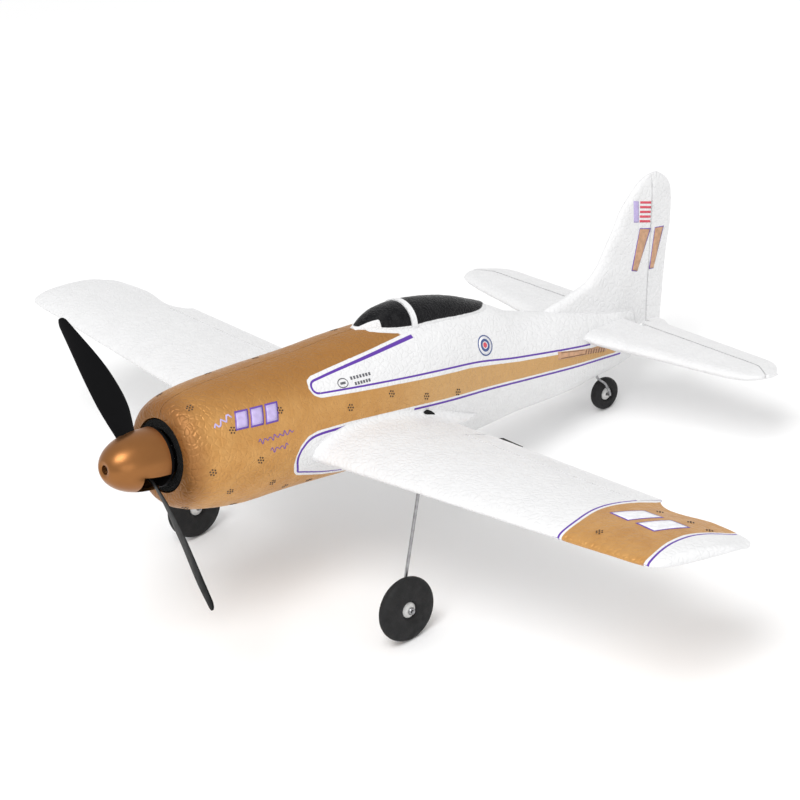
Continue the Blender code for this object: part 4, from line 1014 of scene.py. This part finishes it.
def canopy_ring(s, swell=0.0, arc=56):
    width = curve(CANOPY_WIDTH, s) + swell
    top = curve(CANOPY_TOP, s) + swell
    base = curve(CANOPY_BASE, s)
    points = []
    for k in range(arc + 1):
        a = math.pi * k / arc
        points.append((s, width * math.cos(a), base + (top - base) * math.sin(a) ** 0.9))
    return points + [(s, -width, 12.0), (s, width, 12.0)]


def above_body(points):
    """Height above the fuselage's surface, roughly, along its own radial direction."""
    out = []
    for s, y, z in points:
        width, top, _ = section(s)
        out.append((math.hypot(y / width, z / top) - 1) * math.hypot(y, z))
    return np.array(out)


def make_canopy():
    front, rear = BOW_STATIONS
    runs = {
        "windscreen": (dense([117, 118, front - 0.1], 0.8), 0.0),
        "canopy_bow": (dense([front, rear], 0.5), 0.5),
        "canopy": (dense([rear + 0.1, 180], 1.0) + dense([180.5, 186.5], 0.5), 0.0),
    }
    for name, (stations, swell) in runs.items():
        piece = mesh_object(name + "_shell", loft([canopy_ring(s, swell) for s in stations]))
        if name != "canopy_bow":
            relief(piece, 1.9, 0.14)
            co = to_datum(co_of(piece))
            rim = above_body(co) - 0.9
            if name == "windscreen":
                notch = np.maximum(co[:, 0] - 126.2, 1.5 + (co[:, 0] - 118.5) * 0.42 - np.abs(co[:, 1]))
                rim = np.minimum(rim, notch)
            set_field(piece, "frame", rim)
        finish, slot = (FOAM, "white_foam") if name == "canopy_bow" else (CANOPY_FINISH, "black_paint")
        finish_piece(piece, "airframe", finish, [name])


# ---------------------------------------------------------------- nose


def make_nose():
    stations = [SPINNER_LENGTH * (1 - math.cos(math.pi / 2 * k / 44)) for k in range(45)]
    outer = [(s, spinner_radius(s)) for s in stations]
    inner = [(s, max(spinner_radius(s) - 1.0, 2.6)) for s in stations if s > 4.6]
    lip = [(0.25, SCREW_HOLE_RADIUS), (0.05, SCREW_HOLE_RADIUS + 0.25)]
    profile = outer + inner[::-1] + [(4.2, 2.6), (4.2, SCREW_HOLE_RADIUS)] + lip
    spinner = mesh_object("spinner_cone", turned(profile))
    a = math.radians(-BLADE_ANGLE)
    across, half = (-math.sin(a), math.cos(a)), 5.2
    out = (math.cos(a), math.sin(a))
    corners = [(-20, -half), (20, -half), (20, half), (-20, half)]
    rings = []
    for s in (PROP_STATION - HUB_HALF, SPINNER_LENGTH + 2):
        rings.append([(s, out[0] * u + across[0] * v, out[1] * u + across[1] * v) for u, v in corners])
    carve(spinner, [("DIFFERENCE", loft(rings))])
    finish_piece(spinner, "rotor", SPINNER_FINISH, ["spinner"])

    edge = SPINNER_RADIUS - 0.2
    rim = [(22.3, 3.2), (22.3, edge - 0.3), (22.6, edge), (23.4, edge), (23.6, edge - 0.2), (23.6, 3.2)]
    plate = mesh_object("spinner_plate", turned(rim))
    finish_piece(plate, "rotor", BLACK_GLOSS, ["spinner_backplate"])

    profile = [(25.6, 10.0)] + [(25.25 + 0.25 * abs(math.cos(k)), 10.2 + 0.28 * k) for k in range(13)]
    profile += [(25.9, 13.85), (28.6, 13.85), (28.6, 10.0)]
    flock = mesh_object("nose_ring_flock", turned(profile, segments=160))
    relief(flock, 0.9, 0.3)
    finish_piece(flock, "airframe", FELT, ["nose_ring"])


def section_loop(rounds=2):
    """The blade section with its corners cut twice, for a smooth outline."""
    loop = [np.array(p, float) for p in BLADE_SECTION]
    for _ in range(rounds):
        pairs = zip(loop, loop[1:] + loop[:1])
        loop = [a + (b - a) * share for a, b in pairs for share in (0.25, 0.75)]
    return loop


def blade(direction):
    a = math.radians(-BLADE_ANGLE)
    out = (math.cos(a) * direction, math.sin(a) * direction)
    side = (out[1], -out[0])
    rings = []
    for r in dense([3, 58], 1.2) + dense([58.6, 62.4], 0.5) + [62.8, 63.1, 63.35, PROP_RADIUS]:
        round_off = math.sqrt(max(0.02, 1 - max(0.0, (r - 61.2) / 2.4) ** 2)) if r > 61.2 else 1.0
        chord, thick = curve(BLADE_CHORD, min(r, 62)) * round_off, curve(BLADE_THICK, r)
        twist = math.radians(curve(BLADE_TWIST, r))
        front = PROP_STATION + curve(BLADE_EDGE_STATION, r)
        edge = curve(BLADE_EDGE, min(r, 62)) + (1 - round_off) * 2.4
        ring = []
        for u, v in section_loop():
            x = edge + u * chord * math.cos(twist) - v * thick * math.sin(twist)
            s = front + u * chord * math.sin(twist) - v * thick * math.cos(twist)
            ring.append((s, out[0] * r + side[0] * x, out[1] * r + side[1] * x))
        rings.append(ring)
    return loft(rings)


def make_propeller():
    low, high = PROP_STATION - HUB_HALF, PROP_STATION + HUB_HALF
    hub = [(low, SHAFT_RADIUS), (low, 4.1), (low + 0.3, 4.4)]
    hub += [(high - 0.3, 4.4), (high, 4.1), (high, SHAFT_RADIUS)]
    prop = mesh_object("two_blade_propeller", turned(hub, segments=64))
    carve(prop, [("UNION", blade(1)), ("UNION", blade(-1))])
    finish_piece(prop, "rotor", BLACK_GLOSS, ["propeller"])


# ---------------------------------------------------------------- undercarriage

GEAR_TOP = 99.5
GEAR_Y = 61.2


def tyre_profile(radius, width, bore):
    half, depth = width / 2, radius - bore
    side = [(0.6, 0.0), (0.78, 0.04), (0.93, 0.14), (1.0, 0.3), (0.985, 0.5), (0.93, 0.68), (0.82, 0.82)]
    side += [(0.66, 0.915), (0.46, 0.965), (0.24, 0.992), (0.0, 1.0)]
    right = [(reach * half, bore + up * depth) for reach, up in side]
    return [(-reach, up) for reach, up in right[:-1]] + right[::-1]


def make_wheel(name, body, axle, radius, width, bore, hub_reach):
    tyre = mesh_object(name + "_foam_tyre", turned(tyre_profile(radius, width, bore), axle, "y"))
    relief(tyre, 1.0, 0.03)
    finish_piece(tyre, body, TYRE_FOAM, [name + "_tyre"])
    half, inner, pin = width * 0.27 * hub_reach, bore - 0.25, AXLE_BORE
    face = [(half, pin), (half, pin + 0.5), (half * 0.93, inner * 0.55)]
    face += [(half * 0.72, inner * 0.86), (half * 0.6, inner)]
    hub = mesh_object(name + "_cap", turned([(-a, r) for a, r in face] + face[::-1], axle, "y", 64))
    finish_piece(hub, body, HUB_PLASTIC, [name + "_hub"])


def make_gear():
    s, y, z = MAIN_AXLE
    for side, name in SIDES:
        axle = (s, side * y, z)
        make_wheel("main_wheel_" + name, name + "_wheel", axle, MAIN_RADIUS, MAIN_WIDTH, 3.3, 1.7)
        inner, outer, top = side * GEAR_Y, side * (y + 4.2), -3.2
        points = [(GEAR_TOP, inner, top), (GEAR_TOP, inner, -8.2), (s + 2.6, inner, z + 9.0), (s, inner, z),
                  (s, outer, z)]
        leg = mesh_object("gear_leg_" + name, tube(bent(points, 1.6), GEAR_WIRE))
        finish_piece(leg, "airframe", STEEL, ["gear_wire_" + name])
        cap = [(0, AXLE_BORE), (0, 1.35), (0.12, 1.5), (0.7, 1.35), (0.9, 1.1), (0.9, AXLE_BORE)]
        cap = [(side * reach, radius) for reach, radius in cap]
        keeper = mesh_object("axle_keeper_" + name, turned(cap, (s, side * (y + 2.85), z), "y", 48))
        finish_piece(keeper, "airframe", STEEL, ["wheel_keeper_" + name])
    s, y, z = TAIL_AXLE
    make_wheel("tail_wheel", "tail_wheel", TAIL_AXLE, TAIL_RADIUS, TAIL_WIDTH, 2.9, 1.5)
    side = TAIL_WIDTH / 2 + 1.3
    points = [(TAIL_PIVOT, 0, -6.0), (TAIL_PIVOT, 0, -17.4), (TAIL_PIVOT + 1.8, side, -19.4)]
    points += [(s, side, z + 0.8), (s, side, z), (s, -1.8, z)]
    fork = mesh_object("tail_wheel_fork", tube(bent(points, 1.0), 0.5))
    finish_piece(fork, "tail_fork", STEEL, ["tail_wire"])


# ---------------------------------------------------------------- printed marks, as thin conforming shells


class Marks:
    """Collects thin closed shells laid on a surface. chart(u, v, lift) gives a datum point."""

    def __init__(self, name, finish, body="airframe"):
        self.name, self.finish, self.body = name, finish, body
        self.verts, self.faces = [], []

    def sheet(self, chart, rows, lift=0.06, wrap=False):
        base, count, height = len(self.verts), len(rows[0]), len(rows)
        for level in (lift, -0.12):
            self.verts += [tuple(chart(u, v, level)) for row in rows for u, v in row]
        under = height * count
        quad = lambda a, b, c, d: self.faces.append(tuple(base + i for i in (a, b, c, d)))
        for i in range(height - 1):
            for k in range(count if wrap else count - 1):
                j = (k + 1) % count
                a, b, c, d = i * count + k, i * count + j, (i + 1) * count + j, (i + 1) * count + k
                quad(a, b, c, d)
                quad(d + under, c + under, b + under, a + under)
        for i in (0, height - 1):
            for k in range(count if wrap else count - 1):
                a, b = i * count + k, i * count + (k + 1) % count
                quad(a, b, b + under, a + under)
        if not wrap:
            for k in (0, count - 1):
                for i in range(height - 1):
                    a, b = i * count + k, (i + 1) * count + k
                    quad(a, b, b + under, a + under)

    def ring(self, chart, centre, inner, outer, lift=0.06, count=24):
        rows = []
        for r in (inner, (inner + outer) / 2, outer):
            turns = [math.tau * k / count for k in range(count)]
            rows.append([(centre[0] + r * math.cos(a), centre[1] + r * math.sin(a)) for a in turns])
        self.sheet(chart, rows, lift, wrap=True)

    def dot(self, chart, centre, radius, lift=0.06, count=10):
        self.ring(chart, centre, radius * 0.06, radius, lift, count)

    def stroke(self, chart, points, width, lift=0.06, step=0.7):
        path = resampled(points, step)
        heading = np.gradient(path, axis=0)
        heading /= np.linalg.norm(heading, axis=1)[:, None]
        rows = [[tuple(p + np.array((-t[1], t[0])) * w) for w in (-width / 2, 0, width / 2)]
                for p, t in zip(path, heading)]
        self.sheet(chart, rows, lift)

    def quad(self, chart, corners, lift=0.06, step=1.2):
        """A four-cornered area, corners in order round it."""
        a, b, c, d = (np.array(p, float) for p in corners)
        rows_n = max(2, math.ceil(np.linalg.norm(d - a) / step))
        cols_n = max(2, math.ceil(np.linalg.norm(b - a) / step))
        rows = []
        for i in range(rows_n + 1):
            left, right = a + (d - a) * i / rows_n, b + (c - b) * i / rows_n
            rows.append([tuple(left + (right - left) * k / cols_n) for k in range(cols_n + 1)])
        self.sheet(chart, rows, lift)

    def make(self, slot="black_paint"):
        piece = mesh_object(self.name, (self.verts, self.faces))
        finish_piece(piece, self.body, self.finish, crease=0)


def round_chart(s0, degrees, side):
    """Chart round a fuselage point: u aft, v downward along the skin, in millimetres."""
    width, top, bottom = section(s0)
    a0 = math.radians(degrees)
    arc = math.hypot(width * math.cos(a0), (top if degrees < 90 else bottom) * math.sin(a0))
    return lambda u, v, lift: body_arc(s0 + u, a0 + v / arc, side, lift)


def side_chart(side):
    """Chart by station and height on the fuselage's side."""
    def chart(s, z, lift):
        _, top, bottom = section(s)
        a = math.acos(max(-1.0, min(1.0, z / (top if z >= 0 else bottom))))
        return body_arc(s, a, side, lift)
    return chart


def fin_chart(side):
    def chart(s, z, lift):
        nose, tail, depth = curve(FIN_NOSE, z), curve(FIN_TAIL, z), curve(FIN_THICKNESS, z)
        return np.array([s, side * (depth * plate_half_thickness((s - nose) / (tail - nose)) + lift), z])
    return chart


def wing_chart(s, y, lift):
    return np.array([s, y, wing_top(y, s) + lift])


# Vent clusters: station, then degrees round the fuselage from its top. The last few are on the right only.
VENTS = [(32, 25), (43, 60), (65, 55), (53, 92), (33, 95), (42, 120), (61, 120), (30, 155), (50, 150)]
VENTS += [(70, 135), (83, 140), (97, 70), (118, 70), (136, 80), (154, 85)]
RIGHT_VENTS = [(54, 20), (75, 15), (113, 15)]
TIP_VENTS = [(99.5, 156), (134.5, 151), (134.8, 166), (134.0, 176)]
VENT_PITCH, VENT_RADIUS = 1.12, 0.34

INK = simple("brown_vent_ink", (0.05, 0.026, 0.012), (0.5, 0.65))
LILAC = simple("lilac_print", srgb(186, 172, 216), (0.4, 0.5))
VIOLET = simple("violet_print", srgb(104, 72, 168), (0.4, 0.5))
NAVY = simple("navy_print", srgb(64, 84, 138), (0.4, 0.5))
PRINT_WHITE = simple("white_print", srgb(236, 236, 240), (0.4, 0.5))
RED = simple("red_print", srgb(214, 74, 92), (0.4, 0.5))
GREY = simple("grey_print", srgb(92, 92, 98), (0.45, 0.6))
TAN = simple("tan_print", srgb(196, 152, 118), (0.4, 0.5), mottle=0.1)
BROWN = simple("brown_print", srgb(120, 84, 50), (0.45, 0.6))


def vent_cluster(marks, chart, u=0.0, v=0.0):
    """Six dots round a seventh."""
    for k in range(7):
        a, r = math.radians(60 * k + 15), VENT_PITCH if k < 6 else 0.0
        marks.dot(chart, (u + r * math.cos(a), v + r * math.sin(a)), VENT_RADIUS)


def framed(slab, edge, chart, corners, grow):
    """A filled quad over a slightly larger one, which shows as its outline."""
    centre = np.mean(corners, axis=0)
    slab.quad(chart, corners, 0.1)
    edge.quad(chart, [centre + (np.array(c) - centre) * grow for c in corners], 0.06)


def body_vents(side, name):
    vents = Marks("vent_dots_" + name, INK)
    for station, degrees in VENTS + (RIGHT_VENTS if side < 0 else []):
        vent_cluster(vents, round_chart(station, degrees, side))
    vents.make()


def round_mark(side, name):
    """Plain concentric rings."""
    chart = round_chart(173, 57, side)
    rim, band, core = (Marks(f"round_mark_{part}_{name}", finish)
                       for part, finish in (("rim", NAVY), ("band", PRINT_WHITE), ("core", RED)))
    rim.ring(chart, (0, 0), 3.7, 4.2, 0.07)
    rim.ring(chart, (0, 0), 1.5, 2.6, 0.08)
    band.ring(chart, (0, 0), 0.1, 3.7, 0.05)
    core.dot(chart, (0, 0), 1.1, 0.09, 20)
    for part in (rim, band, core):
        part.make()


def side_badge(chart, name):
    """A plain oval with a bar in it, and two rows of ticks behind it."""
    badge = Marks("oval_badge_" + name, GREY)
    tilt = lambda u, v: (96.6 + u + 0.02 * v, 18.4 + v)
    oval = [tilt(2.3 * math.cos(a), 1.45 * math.sin(a)) for a in np.linspace(0, 6.24, 29)]
    badge.stroke(chart, oval, 0.28)
    badge.quad(chart, [tilt(-1.2, -0.35), tilt(1.2, -0.35), tilt(1.2, 0.35), tilt(-1.2, 0.35)], step=0.5)
    for k, (low, high) in enumerate(((100.4, 110.6), (101.6, 109.6))):
        z = 19.3 - 2.0 * k
        for j in range(7 - k):
            s = low + (high - low) * (j + 0.15) / (7 - k)
            tick = [(s, z - 0.5), (s + 0.85, z - 0.5), (s + 0.85, z + 0.5), (s, z + 0.5)]
            badge.quad(chart, tick, step=0.5)
    badge.make()


def nose_flash(chart, name):
    """A wave, then three slanted blocks with an outline."""
    flash, edge = Marks("nose_flash_" + name, LILAC), Marks("nose_flash_edge_" + name, VIOLET)
    for k in range(3):
        s = 45.4 + 6.6 * k
        low, high = 12.2 - 0.05 * k, 17.0 + 0.15 * k
        face = [(s - 0.6, low), (s + 4.0, low + 0.1), (s + 5.9, high), (s + 1.3, high - 0.1)]
        flash.quad(chart, face, 0.09)
        rim = [(s - 1.4, low - 0.6), (s + 4.3, low - 0.5), (s + 6.8, high + 0.55), (s + 1.1, high + 0.45)]
        edge.quad(chart, rim, 0.05)
    wave = [(36.4 + 0.9 * k, 13.6 + 0.35 * k + 0.9 * math.sin(k * 1.9)) for k in range(10)]
    flash.stroke(chart, wave, 0.55, 0.07)
    flash.make()
    edge.make()


def side_waves(chart, name):
    """Two lines of plain waves below the nose flash."""
    waves = Marks("signature_waves_" + name, VIOLET)
    for low, high, z in ((52.6, 69.4, 6.2), (57.5, 66.5, 2.0)):
        line = []
        for k in range(int((high - low) / 0.8)):
            swing = 1.15 * math.sin(k * 2.2) * (0.7 + 0.3 * math.sin(k * 0.9))
            line.append((low + 0.8 * k, z + 0.05 * k + swing))
        waves.stroke(chart, smooth_path(line, 0.4), 0.26, step=0.4)
    waves.make()


def louvres(chart, name):
    """A tan panel low on the tail, with two seams and a row of slats."""
    panel, slats = Marks("louvre_panel_" + name, TAN), Marks("louvre_slats_" + name, BROWN)
    panel.quad(chart, [(215.1, 1.0), (247.4, -2.9), (247.4, -1.0), (215.2, 4.3)], 0.05)
    slats.stroke(chart, [(217, 1.2), (232, -0.6)], 0.3, 0.1)
    slats.stroke(chart, [(217, 3.6), (232, 1.2)], 0.25, 0.1)
    for k in range(8):
        s, z = 232.5 + 1.75 * k, 0.9 - 0.3 * k
        slats.quad(chart, [(s, z - 1.8), (s + 0.6, z - 1.8), (s + 1.1, z), (s + 0.5, z)], 0.1, 0.6)
    panel.make()
    slats.make()


def fin_marks(side, name):
    """Stripes behind an upright bar, and under them a slanted bar on the fin and one on the rudder."""
    chart = fin_chart(side)
    stripes, bar = Marks("fin_stripes_" + name, RED), Marks("fin_panel_mark_" + name, LILAC)
    for k in range(5):
        z = 55.7 - 2.0 * k
        stripes.quad(chart, [(268.3, z), (274.6, z - 1.1), (274.7, z - 2.1), (268.4, z - 1.0)])
    bar.quad(chart, [(264.5, 56.4), (267.4, 55.9), (267.9, 46.7), (265.0, 47.2)])
    stripes.make()
    bar.make()
    front = [(268.7, 43.9), (274.6, 42.8), (268.2, 26.0), (265.2, 26.9)]
    rear = [(278.0, 42.6), (283.0, 42.2), (278.4, 25.3), (276.0, 25.5)]
    for part, corners, body in (("front", front, "airframe"), ("rear", rear, "rudder")):
        slab = Marks(f"fin_bar_{part}_{name}", TAN, body)
        edge = Marks(f"fin_bar_edge_{part}_{name}", VIOLET, body)
        framed(slab, edge, chart, corners, (1.14, 1.03))
        slab.make()
        edge.make()


def tip_marks():
    """Two slanted bars and four vent clusters on the left tip's gold band."""
    bars, edges = Marks("tip_bars", PRINT_WHITE), Marks("tip_bar_edges", VIOLET)
    for start in (147, 160):
        corners = [(114.5, start), (128, start + 2.5), (128, start + 11), (114, start + 8.5)]
        framed(bars, edges, wing_chart, corners, (1.1, 1.14))
    bars.make("white_foam")
    edges.make()
    dots = Marks("tip_vent_dots", INK)
    for s, y in TIP_VENTS:
        vent_cluster(dots, wing_chart, s, y)
    dots.make()


def make_marks():
    for side, name in SIDES:
        body_vents(side, name)
        round_mark(side, name)
        chart = side_chart(side)
        for mark in (side_badge, nose_flash, side_waves, louvres):
            mark(chart, name)
        fin_marks(side, name)
    tip_marks()


# ---------------------------------------------------------------- carried-over CAD pieces

# The finish for each of the record's material slots
CAD_FINISHES = {
    "black_plastic": BLACK_GLOSS,
    "steel": STEEL,
    "aluminium": ALUMINIUM,
    "copper": COPPER,
    "carbon": CARBON,
    "circuit_board": BOARD,
    "battery_wrap": WRAP,
    "white_plastic": HUB_PLASTIC,
}


def make_root_shadow_sheets():
    """A dark leaf-shaped sheet on each side of the fuselage by the wing root, in front of the aileron's
    torque rod: painted shade standing for the shadow in an opening there.
    """
    for side, name in SIDES:
        rings = []
        outline = ((-1, 0.95), (-0.5, 1.2), (0.5, 1.2), (1, 0.95), (1, -0.8), (-1, -0.8))
        for k in range(15):
            t = k / 14
            s, half = 133.6 + 6.6 * t, 0.08 + 1.15 * math.sin(math.pi * t) ** 0.8
            a = math.acos((-0.2 - 2.6 * t) / section(s)[2])
            rings.append([body_arc(s, a + half * u / section(s)[0], side, v) for u, v in outline])
        # The black finish on this sheet is painted shade.
        finish_piece(mesh_object("root_slot_" + name, loft(rings)), "airframe", FELT)


def finish_cad_nodes():
    for node in frame["nodes"].values():
        if node.hide_render:
            continue
        name = node.data.materials[0].name if node.data.materials else ""
        found = next((f for key, f in CAD_FINISHES.items() if name.startswith(key)), BLACK_GLOSS)
        node.data.materials.clear()
        node.data.materials.append(found)
        weld = node.modifiers.new("weld", "WELD")
        weld.merge_threshold = 1e-6
        node.data.shade_smooth()
        soften = node.modifiers.new("edges", "BEVEL")
        soften.width, soften.segments, soften.limit_method = 0.12 * MM, 2, "ANGLE"
        soften.angle_limit = math.radians(40)
        soften.harden_normals = True


# ---------------------------------------------------------------- floor, light and camera


FLOOR_HALF = 6.0  # metres
CAMERA_ANGLES = (48.93, 19.67, 1.235)  # degrees from ahead towards the left wing, up, and of roll
CAMERA_DISTANCE = 1263
CAMERA_LENS = 145.2
WORLD_STRENGTH = 0.8


def make_floor():
    mesh = bpy.data.meshes.new("floor")
    corners = [(FLOOR_HALF * x, FLOOR_HALF * y, 0) for x, y in ((-1, -1), (1, -1), (1, 1), (-1, 1))]
    mesh.from_pydata(corners, [], [(0, 1, 2, 3)])
    floor = bpy.data.objects.new("floor", mesh)
    bpy.context.scene.collection.objects.link(floor)
    made, tree, shader = new_material("pale_floor")
    value = put(tree, "TexNoise", Vector=place_of(tree), Scale=3.0).outputs[0]
    tone = blend(tree, value, (0.93, 0.93, 0.93, 1), (0.94, 0.94, 0.94, 1))
    tree.links.new(tone, shader.inputs["Base Color"])
    shader.inputs["Roughness"].default_value = 0.9
    shader.inputs["Specular IOR Level"].default_value = 0.1
    mesh.materials.append(made)


def area_light(name, place, size, power):
    """A soft light aimed at the aeroplane."""
    data = bpy.data.lights.new(name, "AREA")
    data.shape, data.energy = "RECTANGLE", power
    data.size, data.size_y = size
    lamp = bpy.data.objects.new(name, data)
    bpy.context.scene.collection.objects.link(lamp)
    aim = (Vector((0, 0, 0.05)) - Vector(place)).to_track_quat("-Z", "Y")
    lamp.matrix_world = Matrix.Translation(place) @ aim.to_matrix().to_4x4()


def make_light():
    world = bpy.data.worlds.new("studio")
    bpy.context.scene.world = world
    world.use_nodes = True
    back = world.node_tree.nodes["Background"]
    back.inputs[0].default_value = (1, 1, 1, 1)
    back.inputs[1].default_value = WORLD_STRENGTH
    area_light("key", (0.9, 0.6, 1.9), (1.0, 1.0), 24)
    area_light("side", (0.9, 1.6, 0.5), (1.0, 0.7), 3)
    bpy.context.scene.view_settings.view_transform = "Standard"
    bpy.context.scene.view_settings.look = "None"


def make_camera():
    """The viewing angle: ahead and to the left of the aeroplane, a little above it."""
    target = ORIGIN + (FORWARD * -142 + UP * -3.7) * MM
    azimuth, elevation, roll = (math.radians(a) for a in CAMERA_ANGLES)
    level = FORWARD * math.cos(azimuth) + LEFT * math.sin(azimuth)
    away = level * math.cos(elevation) + UP * math.sin(elevation)
    right = UP.cross(away).normalized()
    up = away.cross(right)
    right, up = right * math.cos(roll) + up * math.sin(roll), up * math.cos(roll) - right * math.sin(roll)
    data = bpy.data.cameras.new("camera")
    data.lens, data.sensor_width, data.sensor_fit = CAMERA_LENS, 36, "HORIZONTAL"
    data.clip_start = 0.01
    camera = bpy.data.objects.new("camera", data)
    bpy.context.scene.collection.objects.link(camera)
    camera.matrix_world = Matrix((right, up, away)).transposed().to_4x4()
    camera.matrix_world.translation = target + away * CAMERA_DISTANCE * MM
    bpy.context.scene.camera = camera


make_camera()
make_fuselage()
make_hatch()
for wing_side, wing_name in SIDES:
    make_wing(wing_side, wing_name)
make_root_fairings()
make_tail()
make_fin()
make_canopy()
make_nose()
make_propeller()
make_gear()
make_marks()
make_root_shadow_sheets()
finish_cad_nodes()
make_floor()
make_light()
